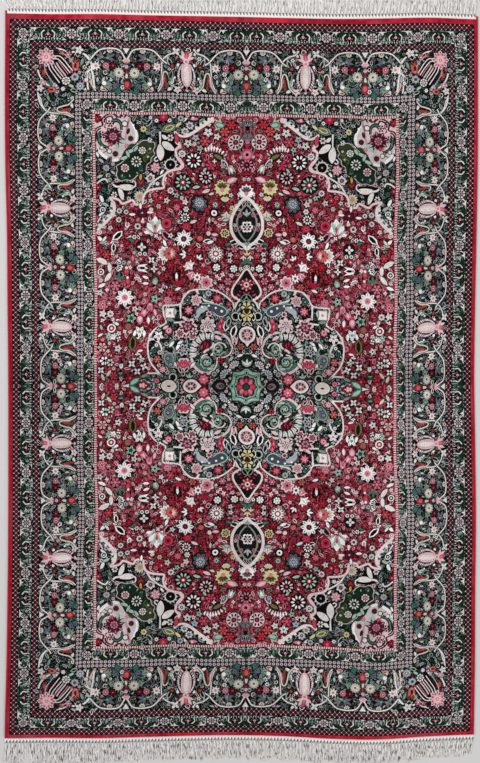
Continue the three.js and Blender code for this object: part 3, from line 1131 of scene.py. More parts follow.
FIELD_ROWS = """
leaf 175 133 10 70 rose
star5 195 136.7 4 90 mist/slate
star5 207.3 130.7 5 90 ivory/slate
star5 216.3 134.3 3.8 0 ivory/slate
star5 187.7 142.7 4.4 20 ivory/moss
star5 199.7 147 3.4 0 mint/ink
frond 213 122.5 10 0 mint/coral
vein 214 122 10 5 aqua/mint
blob 230.3 122.7 4.6 0 scarlet/red
blob 223.7 129.3 5 0 coral/scarlet
blob 204.5 139.5 5.4 0 rose/coral
wheel 234.7 140 7.8 0 blush/ink/coal/rose
tick 206 150.6 5 -105 snow
tick 208.6 150 5.6 -98 snow
tick 211 149.8 6 -90 snow
tick 213.4 149.8 6 -84 snow
tick 215.8 150.2 6 -76 snow
tick 218.2 151 5.6 -66 snow
tick 220.6 152.4 5 -54 snow
tick 223 154.4 5 -40 mist
vein 212 152 14 22 coal/olive
vein 221 157 12 50 blush/stone
blob 223 163.4 3 0 mist/pink
tulip 231 167 5 70 mint/snow/pink
rosette 182 153.3 4.2 0 ivory/ink/ivory
wheel 193.7 159.7 8.2 0 coal/snow/ink/crimson
blob 211 163.4 5.4 0 rose/crimson
cross 214.3 159.3 2.4 0 ivory
wheel 205.7 175.8 7.4 10 ink/blush/ink/pink
wheel 182.7 182 8.6 0 ink/mint/crimson/snow
vein 191 188 11 -20 coal/mint
leaf 203 171 6 -60 mint
lotus 222.3 186 8.6 -90 straw/olive/ink/pink
fan 225 195 5 90 cream/straw/gold/ink
leaf 214 191 6 150 cream
vein 226 181 13 -30 pink/blush
leaf 210 188 9 150 blush
star5 231 193 2.6 0 ivory/ink
rosette 240 200 2.4 0 mist/ink/ivory
rosette 118.6 211.1 3.2 0 ivory/ink/pink
rosette 125.4 212.1 2.8 0 ivory/ink/pink
rosette 118.2 220 3.2 0 ivory/coal/pink
bud 126.8 225 7 90 snow/pink/maroon
rosette 137.1 226.1 3.8 0 ivory/ink/crimson
rosette 141.4 212.5 5 0 maroon/wine/blush
leaf 140 209 7 -100 snow
leaf 146 212 7 -10 snow
leaf 135 214 7 170 snow
leaf 142 217 6 80 snow
dot 150.4 208.9 2.2 0 cream
blob 157.9 205.7 2.6 0 cream/pink
dot 142.1 221 2 0 cream
tick 154.5 232 17 -90 snow
tick 153.5 232 14 -106 mint
tick 155.5 232 14 -74 mint
tick 153 232 12 -124 snow
tick 156 232 12 -56 snow
tick 152 233 9 -146 mist
tick 157 233 9 -34 mist
tick 151 233 8 -168 snow
tick 158 233 8 -12 snow
tick 154.5 231 8 -90 rose
ringlet 165.7 222.9 5 0 rose/crimson/ink
vein 161 230 14 45 pink/coal
vein 122 231 14 130 snow/ink
vein 113 243 10 85 snow/ink
leaf 97 236 9 40 snow
leaf 99 243 8 -20 mint
leaf 106 236 7 120 ivory
blob 126.4 233.6 3.2 0 rose/pink
blob 126.4 243.6 3.2 0 crimson/rose
leaf 128 239 7 20 jade
star5 141.4 246.8 6.4 45 ink/coal
cross 141.4 246.8 4.6 0 ivory/crimson
button 139.6 253.6 2 0 ivory/ink
button 144.6 253.6 2 0 ivory/ink
starlet 140.4 259 3 0 rose/blush
cross 151.1 259.6 4 45 ivory/moss
cross 153.6 268.6 3.6 0 ivory/moss
leaf 132 255 7 80 pink
tulip 141.4 267.9 6 0 snow/ink/pink
leaf 133 274 9 30 pink
fan 115 265.7 7.4 0 snow/ink/snow/ink
rosette 123.2 262.9 2.6 0 mist/slate/ink
bud 125.7 272 8 90 crimson/rose/snow
bud 126.4 281.4 7 90 crimson/scarlet/snow
spray 117 280 8 -80 jade/olive
blob 113.6 286 5.2 0 rose/pink
blob 105.7 254.3 4.4 0 scarlet/coral
ringlet 99.5 271.4 3.4 0 snow/ink/snow
leaf 95 258 14 20 ivory
leaf 108 262 11 80 ivory
leaf 110 272 12 120 ivory
leaf 104 283 9 150 snow
lotus 165 252.9 8.4 180 snow/cream/pink/crimson
lotus 170 252.9 6.6 0 coral/pink/snow/crimson
leaf 166 246 8 -120 snow
tulip 176.2 276 6 -90 ink/snow/pink
frond 186 262 9 50 snow/pink
frond 193 271 9 110 pink/snow
blob 170 264.3 4.2 0 crimson/scarlet
dot 178 283 3 0 crimson
bud 154.3 281 9 -70 sage/mint/ink
leaf 148 283 7 170 snow
leaf 148 278 7 -170 snow
fan 136 281 4.6 -60 snow/crimson/snow/ink
daisy 199 203 9.4 0 ink/coal/coal
daisy 199 203 8.2 20 slate/plum/ink
sun 199 202 6 0 mist/ink/slate/mist
star5 184.6 201.6 3.4 0 ivory/pink
blob 185.4 208.9 3 0 snow/pink
starlet 215 203 3.4 0 mint/moss
starlet 232 206 3.4 0 straw/olive
ringlet 213.6 211.6 4.4 0 ink/snow/ink
frond 226 218 8 -90 cream/olive
leaf 222 219 7 -20 mint
leaf 209 222 6 -100 cream
rosette 185.7 226.4 5.2 0 crimson/rose/wine
dot 193.6 213.6 2.6 0 crimson
dot 206 209 2.4 0 crimson
dot 205.7 228 2 0 crimson
wheel 184.3 217.1 5.2 0 ink/snow/wine/snow
leaf 189 223 8 -30 cream
daisy 183.2 238.6 9 0 snow/maroon/crimson
dot 207.9 232.5 2.4 0 cream
dot 199.3 238 2.8 0 coral
bloom 224.3 231.4 5 0 straw/ink/straw/pink
vein 211 239 9 160 snow/ink
leaf 206 243 8 -30 snow
vein 218 233 8 170 pink/blush
blob 220 240.8 4.2 0 crimson/rose
vein 228 243 12 -30 ivory/ink
vein 236 243 9 20 ivory/ink
leaf 225 244 7 -30 jade
sun 215.4 252.5 8.2 0 snow/ink/crimson/snow
blob 234 247 4 0 pink/rose
blob 236 254 3.4 0 rose/pink
star5 229.8 253 2.8 0 ivory/ink
star5 229.6 259 2.8 0 ivory/ink
bloom 216.4 266.4 5.4 0 ink/snow/ink/snow
bloom 233.6 267 5.4 0 ink/snow/ink/snow
spray 198 259 6 -60 snow/moss
spray 186 254 7 180 snow/ink
blob 191.4 285.7 3.8 0 coral/scarlet
starlet 197 277 5.4 0 snow/crimson
bloom 206 282 7.4 0 blush/pink/rose/maroon
dot 203 269.5 3 0 crimson
blob 228 280 4 0 pink/rose
blob 221.4 286 3.6 0 pink/blush
leaf 238 256 9 0 olive
leaf 240 262 7 -20 jade
spray 243 254.3 5 90 blush/cream
daisy 122.9 297.9 9.4 0 snow/pink/crimson
bloom 100.7 304.3 5.4 0 pink/rose/blush/maroon
blob 107 303 2.8 0 pink/snow
star5 100.7 313 4 0 ivory/cream
rosette 108.2 313.6 3.8 0 ivory/pink/ink
star5 129.3 318.6 5 0 mint/pine
dot 129.3 318.6 2.4 0 moss
star5 132.9 309.3 3.4 0 ivory/ink
dot 135.4 303.6 2.2 0 pink
star5 153.6 298.6 4.6 0 mint/ink
tulip 148 307 5 100 pink/rose/blush
tulip 142 313 5 -60 pink/blush/rose
leaf 153 314 7 110 mint
vein 146 316 9 80 pink/snow
vein 152 308 9 70 rose/blush
bloom 166.4 300 4.4 0 pink/rose/blush/maroon
blob 169.3 292 4 0 scarlet/coral
bud 137.9 320 10 90 pink/blush/rose
star5 137.9 332 6 90 snow/sage
leaf 134 330 8 100 snow
leaf 142 330 8 80 snow
ringlet 109.6 327.9 4.4 90 snow/crimson/snow
ringlet 126.4 327 3.4 0 olive/rose/olive
frond 104 337 7 -20 mint/coal
frond 110 334 6 60 snow/coal
blob 100.7 346.4 5 0 blush/pink
star5 116.6 348.4 4 0 ivory/ink
vein 131 336 16 85 olive/coal
rosette 144.3 345.7 3.6 0 pink/rose/maroon
dot 138.6 348.6 2.8 0 crimson
leaf 136 352 6 -20 snow
cross 139.6 359.3 4 0 ivory/moss
cross 130.7 364.3 4.2 45 ivory/moss
cross 143.2 367 4 20 ivory/moss
cross 136.4 372 4 45 ivory/moss
bud 120 366 6 90 snow/mist/ink
fan 119.3 372 4.4 90 moss/pine/mint/ink
blob 102.9 360 4.8 0 snow/ink
blob 108.8 362 4 0 cream/ink
cross 99.3 369.3 4 45 ivory/ink
blob 112 375 4 0 scarlet/crimson
blob 129 378.6 5 0 crimson/coral
leaf 105 376 8 -60 cream
leaf 103 380 8 -120 cream
fan 102 386.4 5 180 snow/ink/snow/ink
leaf 150 352 6 -70 snow
leaf 143 362 6 -160 mint
star5 160 290 3 0 ivory/pink
leaf 174 290 7 -30 snow
blob 178 298 3 0 rose/pink
star5 98 292 3.6 0 ivory/ink
leaf 112 322 7 30 snow
blob 118 328 3 0 rose/pink
leaf 98 324 6 60 mint
leaf 96 336 6 -40 snow
star5 170 235 3 0 ivory/ink
star5 166 200 3.4 0 ivory/ink
star5 176 195 3 0 mint/ink
rosette 160 197 3 0 crimson/rose/ivory
rosette 170 190 3.6 0 ivory/ink/pink
star5 150 200 2.6 0 ivory/ink
rosette 176 207 3.8 0 rose/pink/wine
blob 157 243 3 0 crimson/rose
blob 170 242 3.4 0 rose/pink
blob 134 237 2.4 0 snow/ink
"""
draw(FIELD_ROWS, "coal")
print(len(chart), "outlines so far")

# %% [markdown]
# The middle line of the rug runs through the two pendants and up to the medallion.

# %% Pendants
draw(f"""
wheel 246.5 163 7 0 coal/pink/ink/rose
ringlet 246.5 152.6 6 0 rose/pink/ink
fan 246.5 138 9 -90 plum/stone/coal/pink
fan 246.5 125 8 -90 stone/coal/mist/ink
lotus 246.5 190 8 -90 snow/stone/ink/pink
vine stone 238,116 240,130 238,144 243,156 1.1
vine stone 246,116 243,126 246,140 0.9
edging ivory {PENDANT} 3
edging sage 246.5,203 239,212 236.5,221 239,231 246.5,239 254,230 254,212 1.6
bloom 246.5 225 6.4 0 snow/ink/snow/pink
spray 246.5 214 7 -90 mist/sage
fan 246.5 240 4 90 mist/ink/snow/ink
edging ivory {SMALL_PENDANT} 1.8
rosette 246.5 283 7 0 crimson/cream/ink
spray 246.5 254 6 -90 straw/olive
leaf 243 262 7 -60 jade
""")
print("pendants drawn")

# %% [markdown]
# The medallion: ivory lobes on black, and in each quarter a kidney-shaped cartouche
# with a feathered leaf and two curled discs, among grey leaves and palmettes.

# %% Medallion
KIDNEY = """190,356 189.6,350 192,342 197,336.6 205,333 215,332 223,334 228,339 231.4,345.7 229.3,353
223,357 217,357.6 216.5,363 214,369 208,373 200.7,371.4 194,366"""
SLATE_LEAF = """192,313 194,307 200,303.6 210,303 220,305 226,309 225,314 219,316 212,312 204,309
197,311 195,317"""
draw(f"""
edging ivory {MEDALLION} 1.5
vine ivory 179,304 179,312 179,321 172,322 1.6
vine ivory 196,290 199,296 204,300 212,302 222,303 2.4 0.3
vine ivory 147,340 152,339 157,342 160,347 161,354 2.6 0.5
vine sage 163,346 161,352 163,360 168,366 173,362 174,354 172,347 168,343 174,338 181,340 1.6
region steel {SLATE_LEAF}
edging mint {SLATE_LEAF} 0.9
region mist 195,312 197.6,308 203,305.6 207,307 204,311 199,314 197,318
region thicket {KIDNEY}
region jade 195,364 203,358 212,357 214,364 210,370 204,371.6 198,369
edging ink {KIDNEY} 2.6
edging blush {KIDNEY} 1.5
vine blush 190.6,358 194,366.4 200.7,371.8 208,373.4 213.6,370 2.6
vine pearl 214,331.8 221,333.2 227.6,338.6 231,345.6 2.4
vine sage 213,333 204,334.6 197,338.4 192.4,344.4 191,351 192,357 6 0.7
""")
for i, turn in enumerate(range(-18, 112, 5)):
    spot = 207.5 + 351j - (20.6 - i % 2) * np.exp(1j * math.radians(turn))
    stamp(paint, "tick", spot, 8.6, turn, ("ivory", "mist", "ivory", "ink")[i % 4], 0.62)
draw("region maroon 200,342 206,339.6 210,342 209,347 203,350 199.6,347\nblob 204.6 345 2.8 0 rose/ink")
for spot, size in ((217 + 348.6j, 7.2), (206 + 362j, 7.8)):
    paint("ink", spot + size * disc(14))
    paint("pine", spot + (size - 1.2) * disc(14))
    for turn in (200, 290, 20, 110):
        stamp(paint, "curl", spot, size * (1.02 - 0.0012 * turn), turn, "ivory" if turn == 200 else "sage")
draw("""
vine ivory 212.6,350.4 214,345 218,342.2 223,343.6 225.4,347 1.1
vine ivory 200.6,364.6 200,359.4 202.6,355.4 206.6,354.4 1.1
vine blush 202.6,352.8 205,350.4 208,349 2.2
vine blush 209,348.6 211.6,346 212.6,343 2
""")
MEDALLION_ROWS = """
square 168.4 312.4 6 0 blush/snow/pink
leaf 174 308 7 90 mint
leaf 164 319 9 0 sage
star5 157 335.7 5.4 90 snow/pink
spray 157 331 4 -90 mint/jade
bloom 167 330 5 20 wine/pink/blush/ink
leaf 161 329 7 -40 blush
peony 195.4 300 6.2 20 blush/pink/ivory/ink
peony 217 297.6 5.2 0 crimson/rose/blush/ink
blob 228.6 303 3 0 rose/pink
rosette 208 293 3.6 0 mist/stone/ink
ringlet 186.4 300 3 0 jade/ink/mint
peony 187.5 310 6.0 0 wine/pink/rose/blush
peony 186 326 10 0 blush/plum/maroon/pink
peony 178.4 333 5.4 0 blush/wine/pink/ink
peony 191 336 4.6 20 blush/wine/pink/ink
blob 193 331 4 0 blush/wine
leaf 180 316 8 30 blush
dot 201 306.6 1.2 0 snow
dot 208 305.4 1.2 0 snow
dot 215 307.4 1.2 0 snow
dot 221 310.4 1.5 0 snow
peony 208 313.6 3.4 0 blush/pink/maroon/ink
peony 206.6 324.6 8.4 10 blush/pearl/ink/blush
leaf 199 330 5 -60 pearl
leaf 213 331 5 -120 pearl
leaf 203 332 5 200 pearl
vein 221 333 16 -97 rose/crimson
tick 219 329 5 -90 pink
tick 222 328 5 -90 pink
tick 220.4 323 5 -90 pink
vein 224 331 14 -80 ivory/coal
vein 229 316 11 100 mist/coal
vein 231 337 14 -80 snow/coal
tulip 233.6 340 5 -90 blush/pink/ink
ringlet 235 315 4.6 0 mint/ink/ink
ringlet 172.5 377 4.4 0 mint/ink/ink
vein 240 320 9 -100 snow/ink
leaf 213 335.6 9 20 blush
vein 204 347 7 -100 maroon/crimson
vein 200 350 6 -80 wine/rose
spray 218 350 4 130 mint/ivory
spray 206 363 4.4 -60 mint/ivory
curl 214 339 2.6 0 sage
curl 226 352 2.6 80 sage
leaf 199 358 6 60 sage
leaf 206 369 7 -10 mint
curl 213 366 2.6 0 mint
tick 213 352 5 130 ivory
peony 182 349.3 6.6 0 mist/ink/ivory/ink
leaf 175 350 8 -70 snow
leaf 176 344 7 -40 snow
dot 183 365 8.2 0 blush
fan 182.9 368 8.6 -90 rose/crimson/pink/blush
vein 178 366 8 60 blush/coal
vein 188 366 8 120 blush/coal
leaf 190 368 8 -60 ivory
leaf 176 368 8 -120 ivory
spray 188.6 378 6 -80 mint/jade
leaf 179 379 6 10 pink
bloom 203.6 379.3 6.4 0 crimson/pink/rose/blush
bloom 141.8 387.9 6.4 0 crimson/cream/rose/ink
vein 128 386 14 -40 jade/mint
leaf 140 378 8 -30 sage
leaf 150 381 8 -20 mist
rosette 156 381 3 0 pink/rose/ink
blob 156.4 359.3 4 0 coral/pink
blob 153 351 2.6 0 jade/ink
boteh 168.6 361 9.6 80 sage/slate/slate/mist
blob 167 358 1.8 0 mist/slate
blob 170 364 1.8 0 mist/slate
rosette 162 369.3 3.6 0 pink/blush/crimson
leaf 168 347 8 -60 snow
leaf 166 350 5 0 coal
starlet 155 345 2.4 0 snow/ink
blob 246.5 306 6 0 straw/olive
blob 246.5 314 6.4 0 straw/gold
dot 246.5 309.4 3 0 maroon
vein 241 300 10 -60 sage/ink
blob 240 345.4 3.6 0 coral/crimson
leaf 228 362 8 -60 mist
leaf 224 366 8 40 snow
leaf 233 360 9 60 sage
leaf 231 370 8 -150 snow
starlet 220 360 3.6 0 crimson/ink
blob 236 352 2.6 0 mist/ink
leaf 236 356 7 -30 snow
rosette 222 377 3.8 0 stone/coal/mist
rosette 214 374 3 0 mist/ink/pink
leaf 228 377 7 20 aqua
spray 233 386 6 0 mint/jade
"""
draw(MEDALLION_ROWS, "ink")
print(len(chart), "outlines so far")

# %% [markdown]
# In the very middle lies a pale green star of eight points round a dark red rosette.
# It is one quarter of an outline, mirrored twice. Petals and rings go round it.

# %% The star in the middle
STAR = points("0,-22 2.4,-17.6 6.4,-15.2 13.6,-14.6 14,-7.6 15.4,-3 19,0")
STAR = np.concatenate([STAR, np.conj(STAR)[-2::-1]])
STAR = np.concatenate([STAR, -np.conj(STAR)[-2:0:-1]])
STAR_LAYERS = "ink 1.07 sage 1 mint 0.93 jade 0.8 mint 0.7 coal 0.64 pine 0.6".split()
for name, size in zip(STAR_LAYERS[::2], STAR_LAYERS[1::2]):
    paint(name, MIDDLE + float(size) * STAR)
paint("maroon", MIDDLE + 10.4 * lobes(8, 0.14))
for turn in range(0, 360, 45):
    way = np.exp(1j * math.radians(turn))
    for dye, size in (("ink", 3.6), ("aqua", 3.0), ("ink", 1.5)):
        paint(dye, MIDDLE + way * (14 + size * (disc(8).real + 0.62j * disc(8).imag)))
    stamp(paint, "vein", MIDDLE + 2.6 * way, 7.6, turn, ("crimson/rose", "rose/pink")[turn // 45 % 2], 1.5)
    stamp(paint, "tick", MIDDLE + 8.4 * way * np.exp(0.4j), 3.4, turn + 22.5, "sage")
draw("""
round10 246.5 386 4 0 ink
round10 246.5 386 3 0 moss
fan 235 366 8.4 -125 ink/pearl/ink/ink
fan 226 375 8.4 -145 ink/mist/ink/ink
round14 246.5 360.4 7.6 0 ink
round14 246.5 360.4 6.4 0 pine
round14 219.4 387.4 8 0 ink
round14 219.4 387.4 6.8 0 coal
round14 220.4 387.4 4.8 0 stone
round14 221.6 387.4 3.2 0 coal
round14 221.6 387.4 1.8 0 mauve
spray 246.5 364.4 7 -90 ivory/mist
vine mist 241.4,359 243,363.6 246.5,365.4 0.8
""")
for spot, tip in ((191 + 387.6j, 1), (246.5 + 333.4j, 1j)):
    for dye, size in (("ink", 9.8), ("ivory", 8.6)):
        paint(dye, spot + size * np.append(disc(20)[1:-1] * (tip * disc(20)[0]), 1.42 * tip))
    paint("mauve", spot + 6.4 * disc(14))
    stamp(paint, "aster", spot, 6, 0, "wine/ivory/crimson")
draw("""
round18 168.4 388 9.6 0 ink
round18 168.4 388 8.4 0 cream
aster 168.4 388 7 0 pearl/ink/stone
""")
print(len(chart), "outlines in all")

# %% [markdown]
# The gaps of the field and the medallion are filled last, once it is known where
# they are, though the leaves lie under all that has been drawn so far.

# %% Filling the field
FIELD_KINDS = """
motif small large dyes
star5 1.8 2.8 ivory/moss
blob 1.8 2.8 pink/wine
star5 1.8 2.6 blush/ink
curl 2.4 3.6 blush
cross 2.0 2.8 snow/moss
curl 2.2 3.4 pink
curl 2.2 3.4 ink
curl 2.2 3.4 ink
vein 4.5 7.5 pink/ink
vein 4.5 7.5 ink/crimson
vein 4.5 7.5 ink/rose
vein 4.0 6.5 sage/pine
vein 4.0 6.5 blush/crimson
vein 4.0 6.5 snow/ink
leaf 3.5 6 pine
leaf 3.5 6 ink
leaf 3.5 6 rose
"""
field_shape = quarter(band_start["field"])
filled = [
    fill_gaps(FIELD_GROUNDS, field_shape, [CORNER_SHAPE, MEDALLION_SHAPE], 8000, FIELD_KINDS, 7),
    fill_gaps(FIELD_GROUNDS, CORNER_SHAPE, [], 4000, BLACK_KINDS, 8),
    fill_gaps(FIELD_GROUNDS, MEDALLION_SHAPE, [], 8000, BLACK_KINDS, 9)]
print("leaves and curls in the field, a corner and the medallion:", filled)

# %% [markdown]
# Now the chart is cut. All outlines go to Blender's own flat triangulation as
# edges, and it splits them where they cross. A triangle takes the dye of the last
# outline painted over it. The edges between triangles of one dye are then of no
# use, so the cutting runs again with only the edges that part two dyes.

# %% Cutting the chart into dyed triangles
TOLERANCE = 0.02
STRAIGHT = 0.05


def triangulate(corners, edges):
    flat = [Vector((z.real, z.imag)) for z in corners]
    found = delaunay_2d_cdt(flat, edges, [], 0, TOLERANCE, False)
    return np.array([complex(*v) for v in found[0]]), np.array(found[2])


def dyes_of(corners, triangles, layers, region):
    """The number of each triangle's dye, or -1 outside the region's outlines."""
    middles = corners[triangles].mean(axis=1)
    order = np.argsort(middles.real)
    spots = middles[order]
    dyed = np.full(len(spots), -1)
    for dye, outline in layers:
        first, last = np.searchsorted(spots.real, (outline.real.min(), outline.real.max()))
        heights = spots[first:last].imag
        level = (heights > outline.imag.min()) & (heights < outline.imag.max())
        near = first + np.flatnonzero(level)
        dyed[near[inside(outline, spots[near])]] = DYE_NAMES.index(dye)
    covered = sum(inside(outline, spots).astype(int) for outline in region)
    result = np.empty_like(dyed)
    result[order] = np.where(covered % 2, dyed, -1)
    return result


def straighten(corners, edges, kept):
    """Takes out the points on a straight stretch, but for the kept ones.

    Such points stay behind where a hidden outline crossed.
    """
    linked = {}
    for a, b in edges:
        linked.setdefault(a, set()).add(b)
        linked.setdefault(b, set()).add(a)
    for v in list(linked):
        if len(linked[v]) != 2 or v in kept:
            continue
        a, b = linked[v]
        span = corners[b] - corners[a]
        off = abs((span.conjugate() * (corners[v] - corners[a])).imag) / max(abs(span), 1e-9)
        if off < STRAIGHT and abs(span) < 1.1 * STEP and b not in linked[a]:
            linked[a] = linked[a] - {v} | {b}
            linked[b] = linked[b] - {v} | {a}
            del linked[v]
    return [(a, b) for a in linked for b in linked[a] if a < b]


def cut(layers, region, rim):
    """Corners, triangles and dyes of a region. The points of rim become corners too."""
    outlines = [outline for _, outline in layers] + region
    starts = np.cumsum([0] + [len(outline) for outline in outlines])
    edges = [(s + i, s + (i + 1) % n) for s, n in zip(starts, np.diff(starts)) for i in range(n)]
    corners, triangles = triangulate(np.concatenate(outlines), edges)
    dyed = dyes_of(corners, triangles, layers, region)

    sides = np.concatenate([triangles[:, [0, 1]], triangles[:, [1, 2]], triangles[:, [2, 0]]])
    sides = np.sort(sides, axis=1)
    number, owner = np.unique(sides[:, 0] * len(corners) + sides[:, 1], return_inverse=True)
    low, high = np.full(len(number), 9999), np.full(len(number), -1)
    np.minimum.at(low, owner.ravel(), np.tile(dyed, 3))
    np.maximum.at(high, owner.ravel(), np.tile(dyed, 3))
    alone = np.bincount(owner.ravel()) == 1
    on_rim = number[(high >= 0) & ((low < 0) | alone)]
    parting = number[(low != high) | alone]
    kept = set((on_rim // len(corners)).tolist() + (on_rim % len(corners)).tolist())
    edges = np.stack([parting // len(corners), parting % len(corners)], axis=1).tolist()
    edges = straighten(corners, edges, kept)
    ends, places = np.unique(np.array(edges), return_inverse=True)
    corners = np.concatenate([corners[ends], rim])
    corners, triangles = triangulate(corners, places.reshape(-1, 2).tolist())
    dyed = dyes_of(corners, triangles, layers, region)
    within = dyed >= 0
    used, places = np.unique(triangles[within], return_inverse=True)
    return corners[used], places.reshape(-1, 3), dyed[within]


print("ready to cut", sum(len(outline) for _, outline in chart), "points")

# %% [markdown]
# A quarter is mirrored twice about the middle of the rug. Then each corner of the
# mesh moves from its place on the chart to its place on the rug. The bands on the
# right and at the bottom have widths of their own, the edges follow the rug's
# waves, and inside them the lines waver a little, as they do in hand work.

# %% From the chart to the rug
WAVER = 0.0012
MARGIN = BINDING_WIDTH + GAP


def far_side(chart_side, real_side):
    """A function from a distance on the chart to that on the mirrored side of the rug."""
    drawn = np.cumsum([0] + [band[chart_side] for band in BANDS[1:]])
    real = np.cumsum([0] + [band[real_side] for band in BANDS[1:]])
    return lambda distance: np.interp(distance, drawn, real), real[-1]


to_right, right_total = far_side("left", "right")
to_bottom, bottom_total = far_side("top", "bottom")
PILE_CORNER = band_start["edge"]
PILE = MIDDLE - PILE_CORNER


def place_on_rug(flat):
    """Rug positions for points of the mirrored chart, counted from the middle, up and right."""
    x = PILE.real - np.abs(flat[:, 0])
    y = PILE.imag - np.abs(flat[:, 1])
    width, height = PILE.real + right_total, PILE.imag + bottom_total
    u = np.where(flat[:, 0] <= 0, x, width - to_right(x)) / width
    v = 1 - np.where(flat[:, 1] >= 0, y, height - to_bottom(y)) / height
    still = np.minimum(1, 12 * np.minimum.reduce([u, 1 - u, v, 1 - v]))
    left, right = left_x(v) + MARGIN, right_x(v) - MARGIN
    low, high = bottom_y(u), top_y(u)
    across = left + (right - left) * u + WAVER * still * (np.sin(23 * v + 1) + np.sin(41 * v + 9 * u))
    up = low + (high - low) * v + WAVER * still * (np.sin(19 * u + 2) + np.sin(37 * u + 8 * v))
    return np.stack([across, up, flat[:, 2] * RUG_THICKNESS], axis=1)


print("the pile is drawn", PILE.real, "+", right_total, "squares wide")

# %% [markdown]
# Each part of the pile is a closed slab. Its front carries the drawing and its back
# only the plain grounds. A wall joins them along the rim, but not along the middle
# lines of the rug, where the mirrored quarters meet.

# %% Slabs
def give(mesh, name, kind, domain, values):
    """Stores a value for each face or point of a mesh."""
    field = {"FLOAT_VECTOR": "vector", "FLOAT_COLOR": "color"}.get(kind, "value")
    mesh.attributes.new(name, kind, domain).data.foreach_set(field, values.ravel())


def mesh_of(name, bm):
    mesh = bpy.data.meshes.new(name)
    bm.to_mesh(mesh)
    bm.free()
    return mesh


def add_piece(name, mesh):
    print(name, "has", sum(len(p.vertices) - 2 for p in mesh.polygons), "triangles")
    return add_object(name, mesh)


def flat_mesh(name, layers, region, level, rim=()):
    """The dyed triangles of a quarter, counted from the middle of the rug."""
    corners, triangles, dyed = cut(layers, region, np.array(rim, dtype=complex))
    mesh = bpy.data.meshes.new(name)
    flat = corners - MIDDLE
    mesh.from_pydata([(z.real, -z.imag, level) for z in flat], [], triangles.tolist())
    give(mesh, "dye_number", "INT", "FACE", dyed.astype(np.int32))
    return mesh


def fill_back(bm, rim, number):
    """A plain sheet on the floor, inside a copy of the rim."""
    copies = bmesh.ops.duplicate(bm, geom=rim)["geom"]
    for copy in copies:
        if isinstance(copy, bmesh.types.BMVert):
            copy.co.z = 0
    edges = [copy for copy in copies if isinstance(copy, bmesh.types.BMEdge)]
    sheet = bmesh.ops.triangle_fill(bm, use_beauty=True, edges=edges)["geom"]
    numbers = bm.faces.layers.int["dye_number"]
    for face in sheet:
        if isinstance(face, bmesh.types.BMFace):
            face[numbers] = number


def values_of(items, field, count, kind):
    values = np.empty(count, dtype=kind)
    items.foreach_get(field, values)
    return values


def add_flat_map(mesh, places):
    """A flat map of a slab: the front fills four fifths of it, then come the walls and the back."""
    low, high = places.min(axis=0), places.max(axis=0)
    x, y, z = ((places - low) / (high - low)).T
    faces = len(mesh.polygons)
    up = values_of(mesh.polygons, "normal", 3 * faces, np.float32)[2::3]
    up = np.repeat(up, values_of(mesh.polygons, "loop_total", faces, np.int32))
    corners = values_of(mesh.loops, "vertex_index", len(mesh.loops), np.int32)
    across = np.where(np.abs(up) > 0.5, y[corners], (x[corners] + y[corners]) / 2)
    front, back = 0.8 * x[corners], 0.83 + 0.17 * x[corners]
    above = np.select([up > 0.5, up < -0.5], [front, back], 0.805 + 0.02 * z[corners])
    flat_map = mesh.uv_layers.new(name="OFBake")
    flat_map.data.foreach_set("uv", np.stack([across, above], axis=1).astype(np.float32).ravel())


def rug_slab(name, layers, region, back_layers):
    """A closed slab with the drawn pile above and a plainer drawing on its back."""
    bm = bmesh.new()
    bm.from_mesh(flat_mesh(name, layers, region, 1))
    rim = [edge for edge in bm.edges if edge.is_boundary]
    rim_points = [MIDDLE + complex(vert.co.x, -vert.co.y) for edge in rim for vert in edge.verts]
    walls = bmesh.ops.extrude_edge_only(bm, edges=[edge for edge in rim if not on_axis(edge)])["geom"]
    for vert in walls:
        if isinstance(vert, bmesh.types.BMVert):
            vert.co.z = 0
    if len(back_layers) > 1:
        bm.from_mesh(flat_mesh(name + "_back", back_layers, region, 0, rim_points))
    else:
        fill_back(bm, rim, DYE_NAMES.index(back_layers[0][0]))
    bmesh.ops.remove_doubles(bm, verts=bm.verts, dist=1e-3)
    for axis in "XY":
        bmesh.ops.mirror(bm, geom=bm.verts[:] + bm.edges[:] + bm.faces[:], axis=axis, merge_dist=1e-3)
    bmesh.ops.recalc_face_normals(bm, faces=bm.faces)
    print(name, "has", sum(edge.is_boundary for edge in bm.edges), "open edges")
    mesh = mesh_of(name, bm)

    flat = values_of(mesh.vertices, "co", 3 * len(mesh.vertices), float).reshape(-1, 3)
    x, y, z = np.abs(flat).T
    mirrored = np.stack([MIDDLE.real - x, MIDDLE.imag - y, 0 * z], axis=1)
    give(mesh, "chart", "FLOAT_VECTOR", "POINT", mirrored)
    places = place_on_rug(flat)
    mesh.vertices.foreach_set("co", places.ravel())

    numbers = values_of(mesh.attributes["dye_number"].data, "value", len(mesh.polygons), np.int32)
    colours = np.concatenate([DYE_COLOURS[numbers], np.ones((len(numbers), 1))], axis=1)
    give(mesh, "dye", "FLOAT_COLOR", "FACE", colours)
    grounds = [float(GROUNDS.index(n)) if n in GROUNDS else 0.0 for n in DYE_NAMES]
    give(mesh, "ground", "FLOAT", "FACE", np.array(grounds)[numbers])
    mesh.update()
    add_flat_map(mesh, places)
    return add_piece(name, mesh)


def on_axis(edge):
    """Whether an edge of a quarter lies on a middle line of the rug."""
    return any(all(abs(vert.co[i]) < 1e-3 for vert in edge.verts) for i in (0, 1))


# %% [markdown]
# The pile is cut into five parts, because one mesh with all its patches would be
# too large. They meet along the lines of the borders and of the medallion, and
# once straight across the field.

# %% Five parts of the pile
FLANKS_START = 264.0

